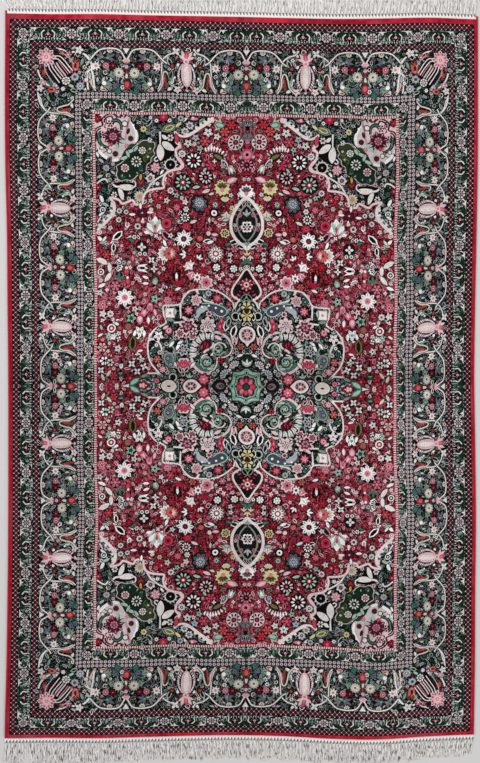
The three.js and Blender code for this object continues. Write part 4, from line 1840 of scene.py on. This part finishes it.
pile, main, field = (quarter(band_start[name]) for name in ("edge", "main", "field"))
medallion = np.array([min(z.real, MIDDLE.real) + 1j * min(z.imag, MIDDLE.imag) for z in MEDALLION_SHAPE])
border_rows, border_grounds = chart[:BORDER_LAYERS], chart[:BAND_GROUNDS]
field_rows = [("meadow", field), *chart[BORDER_LAYERS:]]
upper_field = [block(band_start["field"], MIDDLE.real + FLANKS_START * 1j)]
lower_field = [block(band_start["field"].real + FLANKS_START * 1j, MIDDLE), medallion]
rug_edges = rug_slab("rug_edges", border_rows, [pile, main], border_grounds)
rug_borders = rug_slab("rug_borders", border_rows, [main, field], border_grounds)
rug_field = rug_slab("rug_field", field_rows, upper_field, field_rows[:1])
rug_flanks = rug_slab("rug_flanks", field_rows, lower_field, field_rows[:1])
rug_medallion = rug_slab("rug_medallion", field_rows, [medallion], field_rows[:1])

# %% [markdown]
# Silk takes light along its pile: it has a soft sheen, and each knot shows as a tiny
# grain. Between the drawn flowers the real rug is full of leaves no larger than a
# few knots. Those come from the material, by Voronoi cells on the chart's own
# coordinates, so they mirror as the drawn ones do. Effects that more than one
# finish uses are node groups. A few helpers add the nodes.

# %% Helpers for node trees
def plug(tree, socket, value):
    """Gives a socket a plain value, or a link from another node."""
    if isinstance(value, bpy.types.NodeSocket):
        tree.links.new(value, socket)
    else:
        socket.default_value = value


def add_node(tree, kind, *values, **named):
    """A new node. Words in lower case set the node itself, and the others plug its sockets."""
    node = tree.nodes.new("ShaderNode" + kind)
    for name, value in named.items():
        if name.islower():
            setattr(node, name, value)
    for socket, value in zip(node.inputs, values):
        plug(tree, socket, value)
    for name, value in named.items():
        if not name.islower():
            plug(tree, node.inputs[name], value)
    return node


def maths(tree, operation, *values, clamp=False):
    return add_node(tree, "Math", *values, operation=operation, use_clamp=clamp).outputs[0]


def product(tree, first, *others):
    for other in others:
        first = maths(tree, "MULTIPLY", first, other)
    return first


def ramp(tree, value, start, gain):
    """How far a value is above another, times a gain, and held between 0 and 1."""
    return maths(tree, "MULTIPLY", maths(tree, "SUBTRACT", value, start), gain, clamp=True)


def squares(tree, a, b):
    """The squares of two values, added."""
    return maths(tree, "ADD", maths(tree, "POWER", a, 2), maths(tree, "POWER", b, 2))


def vector_maths(tree, operation, *values, output="Vector", **named):
    return add_node(tree, "VectorMath", *values, operation=operation, **named).outputs[output]


def mix(tree, factor, a, b, blend="MIX"):
    node = add_node(tree, "Mix", factor, data_type="RGBA", blend_type=blend)
    plug(tree, node.inputs[6], a)
    plug(tree, node.inputs[7], b)
    return node.outputs[2]


def split(tree, value, kind="Color"):
    """The three parts of a colour, or of a place where the kind is XYZ."""
    return add_node(tree, "Separate" + kind, value).outputs


def band_mask(tree, value, low, high):
    """1 where a value lies between two others, else 0."""
    above = maths(tree, "GREATER_THAN", value, low)
    return product(tree, above, maths(tree, "LESS_THAN", value, high))


def attribute(tree, name, output="Fac"):
    return add_node(tree, "Attribute", attribute_name=name).outputs[output]


def object_place(tree):
    return add_node(tree, "TexCoord").outputs["Object"]


def noise(tree, vector, scale, detail=2.0, output="Fac"):
    return add_node(tree, "TexNoise", Vector=vector, Scale=scale, Detail=detail).outputs[output]


def stretched(tree, vector, size):
    return add_node(tree, "Mapping", Vector=vector, Scale=size).outputs[0]


def bump(tree, shader, height, strength, distance):
    """Lets a height tilt the surface."""
    node = add_node(tree, "Bump", Strength=strength, Distance=distance, Height=height)
    plug(tree, shader.inputs["Normal"], node.outputs[0])


def dye(name):
    return (*DYE_COLOURS[DYE_NAMES.index(name)], 1.0)


def pick(tree, factor, shares):
    """A dye by a number from 0 to 1: 'pine=0.3/pink=0.5/...' gives each dye's upper bound."""
    words = shares.replace("=", "/").split("/")
    node = add_node(tree, "ValToRGB", factor)
    node.color_ramp.interpolation = "CONSTANT"
    stops = node.color_ramp.elements
    bound = 0.0
    for i, (name, upper) in enumerate(zip(words[::2], words[1::2])):
        stop = stops[i] if i < 2 else stops.new(bound)
        stop.position = bound
        stop.color = dye(name)
        bound = float(upper)
    return node.outputs[0]


def node_group(name, inputs, outputs):
    """An empty shader node group with named sockets, each given as 'Name Kind'."""
    tree = bpy.data.node_groups.new(name, "ShaderNodeTree")
    for words, way in ((inputs, "INPUT"), (outputs, "OUTPUT")):
        for word in words:
            label, kind = word.rsplit(" ", 1)
            tree.interface.new_socket(name=label, in_out=way, socket_type="NodeSocket" + kind)
    return tree, tree.nodes.new("NodeGroupInput").outputs, tree.nodes.new("NodeGroupOutput").inputs


def use_group(tree, group, **values):
    return add_node(tree, "Group", node_tree=group, **values).outputs


def material(name, roughness, sheen):
    made = bpy.data.materials.new(name)
    made.use_nodes = True
    shader = made.node_tree.nodes["Principled BSDF"]
    shader.inputs["Roughness"].default_value = roughness
    shader.inputs["Sheen Weight"].default_value = sheen
    shader.inputs["Specular IOR Level"].default_value = 0.03
    return made, made.node_tree, shader


print("the pile takes", len(DYE_NAMES), "dyes, and", len(GROUNDS), "grounds have a finish of their own")

# %% [markdown]
# Small leaves: a leaf round the middle of each cell, dark at its rim. A curl bends
# them, so they don't lie in rows.

# %% Node group: small leaves on the chart
LEAF_STRETCH = (0.72, 1.15, 0)
LEAF_RIM = 0.17

leaves_group, given, out = node_group(
    "small_leaves", ["Chart Vector", "Grain Float", "Curl Float"],
    ["Leaf Float", "Rim Float", "Tone Float", "Second Tone Float"])
tree = leaves_group
curl = vector_maths(tree, "SUBTRACT", noise(tree, given["Chart"], 0.21, 1.0, "Color"), (0.5, 0.5, 0.5))
curl = vector_maths(tree, "SCALE", curl, Scale=given["Curl"])
curled = vector_maths(tree, "ADD", given["Chart"], curl)
cells = add_node(tree, "TexVoronoi", Vector=stretched(tree, curled, LEAF_STRETCH), Scale=given["Grain"])
distance = cells.outputs["Distance"]
tones = split(tree, cells.outputs["Color"])
reach_of_leaf = maths(tree, "MULTIPLY_ADD", tones[1], 0.2, 0.2)
plug(tree, out["Leaf"], maths(tree, "LESS_THAN", distance, reach_of_leaf))
plug(tree, out["Rim"], maths(tree, "LESS_THAN", distance, maths(tree, "ADD", reach_of_leaf, LEAF_RIM)))
plug(tree, out["Tone"], tones[0])
plug(tree, out["Second Tone"], tones[2])
print("small leaves:", len(tree.nodes), "nodes")

# %% [markdown]
# Tendrils: a noise has lines of equal level, like the contours on a map. Thin bands
# along them look like stems that wind between the flowers.

# %% Node group: tendrils, the level lines of a noise
tendrils_group, given, out = node_group(
    "tendrils", ["Chart Vector", "Scale Float", "Levels Float", "Width Float"], ["Line Float", "Tone Float"])
tree = tendrils_group
waves = add_node(tree, "TexNoise", Vector=given["Chart"], Scale=given["Scale"], Detail=0.0, Distortion=0.6)
level = maths(tree, "FRACT", product(tree, waves.outputs["Fac"], given["Levels"]))
off_level = maths(tree, "ABSOLUTE", maths(tree, "SUBTRACT", level, 0.5))
plug(tree, out["Line"], maths(tree, "LESS_THAN", off_level, given["Width"]))
plug(tree, out["Tone"], noise(tree, given["Chart"], 0.13, 1.0))
print("tendrils:", len(tree.nodes), "nodes")

# %% [markdown]
# The stripes run round the rug, so their finish has to know how far along a place is
# and how far across. Where the share of the side stripe is the smaller one, the
# place lies in the side stripe, and else in the top one.

# %% Node group: place in a stripe
stripe_group, given, out = node_group(
    "stripe_place", ["Chart Vector", "Start Vector", "Width Vector"], ["Along Float", "Across Float"])
tree = stripe_group
share = vector_maths(tree, "SUBTRACT", given["Chart"], given["Start"])
shares = split(tree, vector_maths(tree, "DIVIDE", share, given["Width"]), "XYZ")
places = split(tree, given["Chart"], "XYZ")
on_side = maths(tree, "LESS_THAN", shares[0], shares[1])
for label, at_side, at_top in (("Along", places[1], places[0]), ("Across", shares[0], shares[1])):
    chosen = add_node(tree, "Mix", on_side)
    plug(tree, chosen.inputs[2], at_top)
    plug(tree, chosen.inputs[3], at_side)
    plug(tree, out[label], chosen.outputs[0])
print("place in a stripe:", len(tree.nodes), "nodes")

# %% [markdown]
# Knots: each tuft takes the dye a little differently, and streaks run across the
# rug where one batch of silk ends and the next begins.

# %% Node group: knots
KNOT = 0.0013

knots_group, given, out = node_group(
    "silk_knots", ["Place Vector", "Color Color"], ["Color Color", "Height Float"])
tree = knots_group
tufts = add_node(tree, "TexVoronoi", Vector=given["Place"], Scale=1 / KNOT, Randomness=0.6)
tuft = split(tree, tufts.outputs["Color"])
speckle = maths(tree, "MULTIPLY_ADD", tuft[0], 0.34, 0.83)
streak = noise(tree, stretched(tree, given["Place"], (2.0, 60.0, 1.0)), 1.0, 4.0)
shade = product(tree, speckle, maths(tree, "MULTIPLY_ADD", streak, 0.5, 0.75))
plug(tree, out["Color"], mix(tree, 1.0, given["Color"], shade, "MULTIPLY"))
plug(tree, out["Height"], maths(tree, "SUBTRACT", 1.0, tufts.outputs["Distance"]))
print("node groups:", [group.name for group in bpy.data.node_groups])

# %% [markdown]
# The finish of the pile starts from the dye of each patch. The grounds then get
# their small leaves and tendrils, each ground from its own rows, and a few worn
# marks cross the flowers, so that no patch is quite even.

# %% Silk pile: leaves and tendrils on the grounds
silk, tree, shader = material("silk_pile", 0.6, 0.01)
chart_place = attribute(tree, "chart", "Vector")
ground = attribute(tree, "ground")
colour = attribute(tree, "dye", "Color")
LEAF_GROUNDS = table("""
ground base curl grain rims leaves
meadow madder 4 0.62 ink=0.45/pine=0.6/wine=1 rose=0.16/crimson=0.44/ink=0.68/mauve=0.88/sage=1
meadow - 9 0.34 ink=0.8/pine=0.9/umber=1 pine=0.16/pink=0.34/ivory=0.44/crimson=0.78/sage=0.84/rose=1
night ink 6 0.6 ink=1 mist=0.12/ink=0.75/sage=0.86/pine=1
thicket ink 6 0.7 ink=0.5/stone=0.8/pine=1 mist=0.3/sage=0.5/ink=0.75/ivory=0.9/moss=1
thicket - 9 0.36 ink=0.4/mist=0.7/pine=1 pine=0.3/moss=0.5/sage=0.7/ink=0.85/stone=1
""")
TENDRILS = table("""
ground scale levels width share dyes
meadow 0.15 5 0.1 1 ink=1
meadow 0.21 4 0.03 1 rose=0.5/pink=0.54/crimson=1
night 0.16 5 0.04 1 mist=0.44/ink=0.5/stone=0.58/moss=1
night 0.24 4 0.03 1 stone=0.42/mist=0.5/jade=1
thicket 0.2 5 0.045 1 ivory=0.44/ink=0.5/sage=1
none 0.5 3 0.06 0.3 umber=1
none 0.34 4 0.04 0.3 umber=1
""")


def on_ground(name):
    number = GROUNDS.index(name)
    return band_mask(tree, ground, number - 0.5, number + 0.5)


for row in LEAF_GROUNDS:
    here = colour if row["base"] == "-" else dye(row["base"])
    found = use_group(tree, leaves_group, Chart=chart_place, Grain=row["grain"], Curl=row["curl"])
    here = mix(tree, found["Rim"], here, pick(tree, found["Second Tone"], row["rims"]))
    here = mix(tree, found["Leaf"], here, pick(tree, found["Tone"], row["leaves"]))
    colour = mix(tree, on_ground(row["ground"]), colour, here)
for row in TENDRILS:
    found = use_group(tree, tendrils_group, Chart=chart_place, Scale=row["scale"], Levels=row["levels"],
                      Width=row["width"])
    here = product(tree, found["Line"], row["share"], on_ground(row["ground"]))
    colour = mix(tree, here, colour, pick(tree, found["Tone"], row["dyes"]))
print("grounds done:", len(tree.nodes), "nodes")

# %% [markdown]
# The guard stripes are a net: pale lines that cross over a dark red stripe, between
# two black lines, with white dots in rows. The lines are places where a count along
# the stripe, plus or minus a slant, comes near a whole number.

# %% Silk pile: guard stripes
NET_PITCH = 5.0
NET_SLANT = 1.47
NET_SHIFT = 0.235
NET_LINE = 0.075
NET_DOT = 0.44
NET_DOTS = table("""
row  offset
0.16 0.0
0.5  0.5
0.84 0.0
""")


def in_stripe(name):
    """A stripe's width on its side, and the place along and across it."""
    row = next(band for band in BANDS if band["name"] == name)
    start = band_start[name]
    place = use_group(tree, stripe_group, Chart=chart_place, Start=(start.real, start.imag, 0),
                      Width=(row["left"], row["top"], 1))
    return row["left"], place["Along"], place["Across"]


def cell_distance(tree, value, offset=0.0):
    """How far a value is from the nearest whole number."""
    shifted = maths(tree, "ADD", value, 0.5 + offset)
    return maths(tree, "ABSOLUTE", maths(tree, "SUBTRACT", maths(tree, "FRACT", shifted), 0.5))


is_net = on_ground("net")
for name in ("guard", "guard2"):
    width, along, across = in_stripe(name)
    pitches = maths(tree, "DIVIDE", along, NET_PITCH)
    slant = product(tree, across, NET_SLANT)
    rising = cell_distance(tree, maths(tree, "ADD", pitches, slant), -NET_SHIFT)
    falling = cell_distance(tree, maths(tree, "SUBTRACT", pitches, slant), NET_SHIFT)
    lines = maths(tree, "LESS_THAN", maths(tree, "MINIMUM", rising, falling), NET_LINE)
    net = mix(tree, band_mask(tree, across, 0.24, 0.76), dye("net"), dye("guard_red"))
    net = mix(tree, product(tree, lines, 0.15), net, dye("blush"))
    net = mix(tree, maths(tree, "GREATER_THAN", cell_distance(tree, across, 0.5), 0.43), net, dye("coal"))
    for row in NET_DOTS:
        off_row = product(tree, maths(tree, "SUBTRACT", across, row["row"]), width)
        off_dot = product(tree, cell_distance(tree, pitches, row["offset"]), NET_PITCH)
        off = maths(tree, "SQRT", squares(tree, off_row, off_dot))
        net = mix(tree, maths(tree, "LESS_THAN", off, NET_DOT), net, dye("ivory"))
    colour = mix(tree, product(tree, band_mask(tree, across, 0.0, 1.0), is_net), colour, net)
print("guard stripes done:", len(tree.nodes), "nodes")

# %% [markdown]
# Inside the main border two rows of small rings lie side by side, and a line of
# beads closes the borders off from the field.

# %% Silk pile: rings and beads
RING_PITCH = 4.2
RING_HEART = 0.03
RING_RIM = 0.12
RING_GAP = 0.24
BEAD_PITCH = 2.4
BEAD_SHARE = 0.27

_, along, across = in_stripe("rings")
off_ring = squares(tree, cell_distance(tree, maths(tree, "DIVIDE", along, RING_PITCH)),
                   cell_distance(tree, product(tree, across, 2.0), 0.5))
rings = mix(tree, band_mask(tree, off_ring, RING_HEART, RING_RIM), dye("rings"), dye("pearl"))
rings = mix(tree, maths(tree, "LESS_THAN", off_ring, RING_HEART), rings, dye("wine"))
rings = mix(tree, maths(tree, "GREATER_THAN", off_ring, RING_GAP), rings, dye("coal"))
colour = mix(tree, on_ground("rings"), colour, rings)
_, along, across = in_stripe("beads")
off_bead = cell_distance(tree, maths(tree, "DIVIDE", along, BEAD_PITCH))
bead = maths(tree, "LESS_THAN", off_bead, BEAD_SHARE)
colour = mix(tree, on_ground("beads"), colour, mix(tree, bead, dye("crimson"), dye("blush")))
print("rings and beads done:", len(tree.nodes), "nodes")

# %% [markdown]
# The red edge is mottled, partly by its dye and partly by painted sheen, and painted shade makes it darker
# on the left, where the light of the photograph falls off. In the field the reds have faded to pink in
# clouds, partly faded dye and partly painted sheen, and kept a deep tone in others, and some flowers glow in
# a red of their own, partly painted sheen. Two soft lines of painted shade darken the rug where it was
# folded.

# %% Silk pile: red edge, fading and painted sheen, painted fold shade, knots
place = object_place(tree)
x, y, _ = split(tree, place, "XYZ")
# The mottle of the red edge: partly its dye, partly painted sheen of the silk.
mottle_and_sheen = mix(tree, ramp(tree, noise(tree, place, 45.0, 3.0), 0.38, 4.0), dye("ruby"), dye("scarlet"))
colour = mix(tree, product(tree, on_ground("red"), 0.6), colour, mottle_and_sheen)
# Painted shade: the red edge darkens towards the left.
left_shade = maths(tree, "MULTIPLY_ADD", x, -3.0, -1.3, clamp=True)
colour = mix(tree, product(tree, on_ground("red"), left_shade), colour, dye("ruby"))

clouds = noise(tree, place, 7.0, 3.0)
red, green, _ = split(tree, colour)
is_red = ramp(tree, red, green, 4.0)
# Pink clouds on the reds: partly faded dye, partly painted sheen.
faded_and_sheen = ramp(tree, clouds, 0.52, 2.2)
colour = mix(tree, product(tree, faded_and_sheen, is_red, 0.42), colour, dye("pink"))
deep = ramp(tree, 0.47, clouds, 3.0)
colour = mix(tree, product(tree, deep, is_red, 0.45), colour, dye("lac"))
# Round patches of red, pink or maroon over the reds: partly the dye, partly painted sheen.
GLOWS = table("""
x y radius share dye
178 270 12 0.55 red
226 126 12 0.45 scarlet
211 163 7 0.5 rose
155 203 14 0.35 red
128 214 10 0.3 crimson
112 288 15 0.5 pink
155 300 14 0.45 pink
132 262 10 0.3 pink
100 345 10 0.4 red
138 366 12 0.45 maroon
196 250 9 0.35 red
222 243 9 0.35 maroon
""")
for row in GLOWS:
    off = vector_maths(tree, "SUBTRACT", chart_place, (row["x"], row["y"], 0))
    far = vector_maths(tree, "LENGTH", off, output="Value")
    near = maths(tree, "MULTIPLY_ADD", far, -1 / row["radius"], 1.4, clamp=True)
    colour = mix(tree, product(tree, near, row["share"], is_red), colour, dye(row["dye"]))


def fold_shade(value, middle, width, depth):
    """1, but less by depth along a line where the rug was folded: painted shade along the crease."""
    off = maths(tree, "DIVIDE", maths(tree, "SUBTRACT", value, middle), width)
    bell = maths(tree, "EXPONENT", product(tree, off, off, -1.0))
    return maths(tree, "MULTIPLY_ADD", bell, -depth, 1.0)


# Painted shade along the two fold lines of the rug.
across_fold_shade = fold_shade(y, FRAME_MIDDLE[1] + 4.5 * SQUARE, 0.022, 0.25)
lengthwise_fold_shade = fold_shade(x, FRAME_MIDDLE[0] - 1.0 * SQUARE, 0.024, 0.12)
# Large soft patches, darker and lighter: partly uneven dye, partly painted shade.
uneven_dye_and_shade = maths(tree, "MULTIPLY_ADD", noise(tree, place, 3.0), 0.5, 0.66)
# The painted fold shade and the patches, multiplied into the colour.
tone = product(tree, across_fold_shade, lengthwise_fold_shade, uneven_dye_and_shade)
colour = mix(tree, 1.0, colour, tone, "MULTIPLY")
finish = use_group(tree, knots_group, Place=place, Color=colour)
plug(tree, shader.inputs["Base Color"], finish["Color"])
bump(tree, shader, finish["Height"], 0.35, 0.0006)
for piece in (rug_edges, rug_borders, rug_field, rug_flanks, rug_medallion):
    piece.data.materials.append(silk)
    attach(piece, "root")
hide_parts("woven_rug")
print("silk pile:", len(tree.nodes), "nodes")

# %% [markdown]
# The rug's edges are made by hand after the knotting. Red yarn is wound round a cord
# along each side. A grid rolled into a tube takes that shape: its rings swell and
# draw in, one swell for each turn of the yarn, slanting as overcast stitches do.

# %% A tube from a rolled grid
def tube(name, rings, sides, place):
    """place turns shares along and around into positions; both ends are closed."""
    bm = bmesh.new()
    bmesh.ops.create_grid(bm, x_segments=rings, y_segments=sides, size=0.5)
    along = np.array([vert.co.x for vert in bm.verts]) + 0.5
    around = np.array([vert.co.y for vert in bm.verts]) + 0.5
    for vert, spot in zip(bm.verts, place(along, around)):
        vert.co = spot
    bmesh.ops.remove_doubles(bm, verts=bm.verts, dist=1e-6)
    bmesh.ops.holes_fill(bm, edges=[edge for edge in bm.edges if edge.is_boundary], sides=0)
    bmesh.ops.recalc_face_normals(bm, faces=bm.faces)
    return add_piece(name, mesh_of(name, bm))


# %% [markdown]
# The side bindings follow the drawn-in edges of the rug, and run a little past its
# top corners. Their section is a circle that is flattened towards a square.

# %% Side bindings
BINDING_THICKNESS = 0.0064
BINDING_TAIL = 0.008
YARN_TURN = 0.0022
SWELL = 0.05


def binding_place(edge_x, inward, u):
    def place(along, around):
        v = np.clip(along * (1 + BINDING_TAIL / RUG_LENGTH), 0, 1)
        y = bottom_y(u) + (top_y(u) - bottom_y(u)) * v
        y += np.maximum(0, along * (RUG_LENGTH + BINDING_TAIL) - RUG_LENGTH)
        turns = along * RUG_LENGTH / YARN_TURN
        angle = 2 * np.pi * around
        ridge = 1 - SWELL + SWELL * np.sin(2 * np.pi * turns + 1.2 * np.sin(angle))
        square = 1 / np.maximum(np.abs(np.cos(angle)), np.abs(np.sin(angle))) ** 0.5
        x = edge_x(v) + inward * BINDING_WIDTH / 2 + BINDING_WIDTH / 2 * ridge * np.cos(angle)
        half = BINDING_THICKNESS / 2
        return np.stack([x, y, half + half * ridge * np.clip(square * np.sin(angle), -1, 1)], axis=1)
    return place


RINGS_A_TURN = 3
binding_rings = int(RINGS_A_TURN * RUG_LENGTH / YARN_TURN)
bindings = [tube("overcast_left", binding_rings, 10, binding_place(left_x, 1, 0.0)),
            tube("overcast_right", binding_rings, 10, binding_place(right_x, -1, 1.0))]

# %% [markdown]
# Beyond the pile the warps are woven plain for a finger's width, and then knotted in
# bunches. Each bunch is a few loose yarns that leave its knot together, fan out
# and cross their neighbours. A curve holds all the yarns of one end, because its
# round bevel makes each of them a tube, and then it becomes a mesh.

# %% Headings and fringes
TOP_FRINGE = table("""
reach drift
46 -26
53 -7
54 3
53 -3
54 5
52 1
54 4
53 7
52 3
""")
BOTTOM_FRINGE = table("""
reach drift
62 -6
61 4
55 6
53 0
53 5
54 -1
54 3
51 -3
43 -8
""")
LOCKS_PER_END = 142
YARNS_A_LOCK = 7
YARN_RADIUS = 0.0009
HEADING_THICKNESS = 0.0024
KNOT_OUT = 0.003
YARN_STEPS = 12


def heading_place(edge_y, outward, v, margin):
    def place(along, around):
        x = left_x(v) + margin + (right_x(v) - left_x(v) - 2 * margin) * along
        loop = 4 * around
        across = np.interp(loop, (0, 1, 2, 3, 4), (0, 1, 1, 0, 0))
        up = np.interp(loop, (0, 1, 2, 3, 4), (0, 0, 1, 1, 0))
        y = edge_y(along) + outward * (GAP + HEADING_WIDTH * across)
        return np.stack([x, y, HEADING_THICKNESS * up], axis=1)
    return place


def fringe(name, edge_y, outward, v, margin, lie, seed):
    draw = random.Random(seed)
    curve = bpy.data.curves.new(name, "CURVE")
    curve.dimensions = "3D"
    curve.bevel_depth = YARN_RADIUS
    curve.bevel_resolution = 0
    curve.use_fill_caps = True
    start, end = left_x(v) + margin, right_x(v) - margin
    for lock in range(LOCKS_PER_END):
        u = (lock + 0.5) / LOCKS_PER_END
        root = start + (end - start) * u
        far = edge_y(u) + outward * (GAP + HEADING_WIDTH - 0.001)
        reach = MM * (read_table(lie, "reach", u) + draw.uniform(-5, 4))
        drift = MM * (read_table(lie, "drift", u) + draw.gauss(0, 3))
        for yarn in range(YARNS_A_LOCK):
            fan = MM * draw.gauss(0, 4.6)
            length = reach + MM * draw.uniform(-6, 2)
            wave, phase = draw.uniform(1.5, 4.5), draw.uniform(0, 6.3)
            crimp = MM * draw.uniform(0.5, 2.0)
            level = draw.uniform(0, 1)
            spline = curve.splines.new("POLY")
            spline.points.add(YARN_STEPS - 1)
            for step, point in enumerate(spline.points):
                t = step / (YARN_STEPS - 1)
                gathered = min(1.0, length * t / KNOT_OUT)
                spread = (yarn / (YARNS_A_LOCK - 1) - 0.5) * MM * (5.0 - 3.2 * gathered)
                loose = max(0.0, t - 0.06)
                side = spread + drift * loose ** 1.3 + fan * loose ** 0.8
                side += crimp * loose ** 0.4 * math.sin(2 * math.pi * wave * t + phase)
                height = YARN_RADIUS + MM * (1.3 * (1 - t) + 1.5 * level * math.sin(math.pi * t) ** 0.5)
                point.co = (root + side, far + outward * length * t, height, 1)
                point.radius = (1.05 - 0.25 * t) * (0.8 if step == YARN_STEPS - 1 else 1)
    shaped = add_object(name + "_curve", curve)
    bpy.context.view_layer.update()
    depsgraph = bpy.context.evaluated_depsgraph_get()
    mesh = bpy.data.meshes.new_from_object(shaped.evaluated_get(depsgraph))
    bpy.data.objects.remove(shaped)
    bpy.data.curves.remove(curve)
    mesh.name = name
    return add_piece(name, mesh)


ENDS = (("top", top_y, 1, 1.0, MARGIN, TOP_FRINGE, 21),
        ("bottom", bottom_y, -1, 0.0, 0.0, BOTTOM_FRINGE, 22))
headings, fringes = [], []
for end, edge_y, outward, v, margin, lie, seed in ENDS:
    heading = tube("heading_" + end, 160, 8, heading_place(edge_y, outward, v, margin))
    yarns = fringe("yarns_" + end, edge_y, outward, v, margin, lie, seed)
    for piece in (heading, yarns):
        mesh = piece.data
        corners = values_of(mesh.vertices, "co", 3 * len(mesh.vertices), np.float32)
        x, y, z = corners.reshape(-1, 3).T
        u = (x - left_x(v) - margin) / (right_x(v) - left_x(v) - 2 * margin)
        across = np.abs(y - edge_y(u)) / HEADING_WIDTH
        give(mesh, "across", "FLOAT", "POINT", across.astype(np.float32))
        give(mesh, "lock", "FLOAT", "POINT", (u * LOCKS_PER_END).astype(np.float32))
    headings.append(heading)
    fringes.append(yarns)

# %% [markdown]
# The yarns are finished last. The red one has fine fibres along its turns. The undyed one is cream, with
# painted shadow where one strand parts from the next, and a row of short dashes of painted shadow at the
# outer edge of the heading, in the gaps between the knots.

# %% Yarn finishes
red_yarn, tree, shader = material("red_overcast", 0.7, 0.1)
fibre = noise(tree, stretched(tree, object_place(tree), (120, 900, 120)), 1.0, 3.0)
plug(tree, shader.inputs["Base Color"], mix(tree, fibre, dye("crimson"), dye("scarlet")))


def warp_finish(name, shade):
    """Undyed yarn, with painted shadow where strand parts from strand; a larger shade paints more of it."""
    made, tree, shader = material(name, 0.85, 0.1)
    place = object_place(tree)
    fibre = noise(tree, stretched(tree, place, (900, 250, 900)), 1.0, 2.0)
    cream = mix(tree, noise(tree, place, 60.0, 3.0), dye("snow"), dye("white"))
    cream = mix(tree, product(tree, fibre, 0.3), cream, dye("cream"))
    # Painted shadow in dark streaks where strand parts from strand.
    strand_shadow = ramp(tree, shade, noise(tree, stretched(tree, place, (330, 60, 1)), 1.0, 2.0), 9.0)
    across = attribute(tree, "across")
    slanted = maths(tree, "ADD", attribute(tree, "lock"), product(tree, across, 0.35))
    # Painted shadow in short dashes between the knots.
    knot_gap_shadow = maths(tree, "LESS_THAN", cell_distance(tree, slanted), 0.2)
    shaded = maths(tree, "MAXIMUM", product(tree, strand_shadow, maths(tree, "GREATER_THAN", across, 1.6)),
                   product(tree, knot_gap_shadow, band_mask(tree, across, 0.66, 1.5)))
    plug(tree, shader.inputs["Base Color"], mix(tree, product(tree, shaded, 0.85), cream, dye("umber")))
    bump(tree, shader, fibre, 0.4, 0.0005)
    return made


# The bottom yarns get more painted shadow than the top ones.
warps = warp_finish("cream_warp_top", 0.43), warp_finish("cream_warp_bottom", 0.48)
NODES = ("side_binding_left", "side_binding_right", "fringe_top", "fringe_bottom")
for piece, node in zip([*bindings, *headings], NODES):
    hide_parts(node)
for pieces, finishes, slot in ((bindings, (red_yarn, red_yarn), "red_overcast"),
                               (headings, warps, "cream_warp"), (fringes, warps, "cream_warp")):
    for piece, finish in zip(pieces, finishes):
        piece.data.materials.append(finish)
        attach(piece, "root")
print("finishes:", sorted(material.name for material in bpy.data.materials))

# %% [markdown]
# The rug lies on a plain pale floor. One large soft lamp at the upper left gives the
# knots their shade, and a weaker one from the other side fills it.

# %% Floor and light
bm = bmesh.new()
bmesh.ops.create_grid(bm, x_segments=1, y_segments=1, size=6)
floor = add_object("floor", mesh_of("floor", bm))
floor_finish, tree, shader = material("floor", 0.8, 0.0)
shader.inputs["Base Color"].default_value = (0.62, 0.61, 0.6, 1)
floor.data.materials.append(floor_finish)

LIGHTS = table("""
name  x    y    z   size watts
key   -1.5 2.2  3.5 3.0  110
fill  2.2  -1.0 3.2 4.0  60
""")
for row in LIGHTS:
    lamp = bpy.data.lights.new(row["name"], "AREA")
    lamp.size = row["size"]
    lamp.energy = row["watts"]
    light = add_object(row["name"], lamp)
    light.location = (row["x"], row["y"], row["z"])
    light.rotation_euler = (-light.location).to_track_quat("-Z", "Y").to_euler()
world = bpy.data.worlds.new("studio")
world.use_nodes = True
background = world.node_tree.nodes["Background"]
background.inputs["Color"].default_value = (0.9, 0.9, 0.92, 1)
background.inputs["Strength"].default_value = 0.5
bpy.context.scene.world = world
bpy.context.scene.view_settings.view_transform = "Standard"
print("lamps:", [row["name"] for row in LIGHTS])

# %% [markdown]
# The rug is a sheet of cloth laid on the floor. It is drawn in five pieces, and each one's flat size is
# printed. For the outermost, a frame, that is the size of the strip it would make: the mean width of its
# four sides, and its length.

# %% Sheets
def face_area(piece):
    """The area of a slab as seen from above."""
    return sum(face.area for face in piece.data.polygons if face.normal.z > 0.5)


for piece in (rug_borders, rug_field, rug_flanks, rug_medallion):
    width, length = piece.dimensions.xy
    face_area(piece)
    print(piece.name, "lies flat,", round(width, 3), "by", round(length, 3), "m")
sides = [sum(band[side] for band in BANDS[1:5]) for side in ("left", "top", "right", "bottom")]
strip_width = SQUARE * sum(sides) / 4
strip_length = 2 * sum(rug_edges.dimensions.xy) - 4 * strip_width
print(rug_edges.name, "would make a strip of", round(strip_width, 4), "by", round(strip_length, 3),
      "m, area", round(face_area(rug_edges), 3))
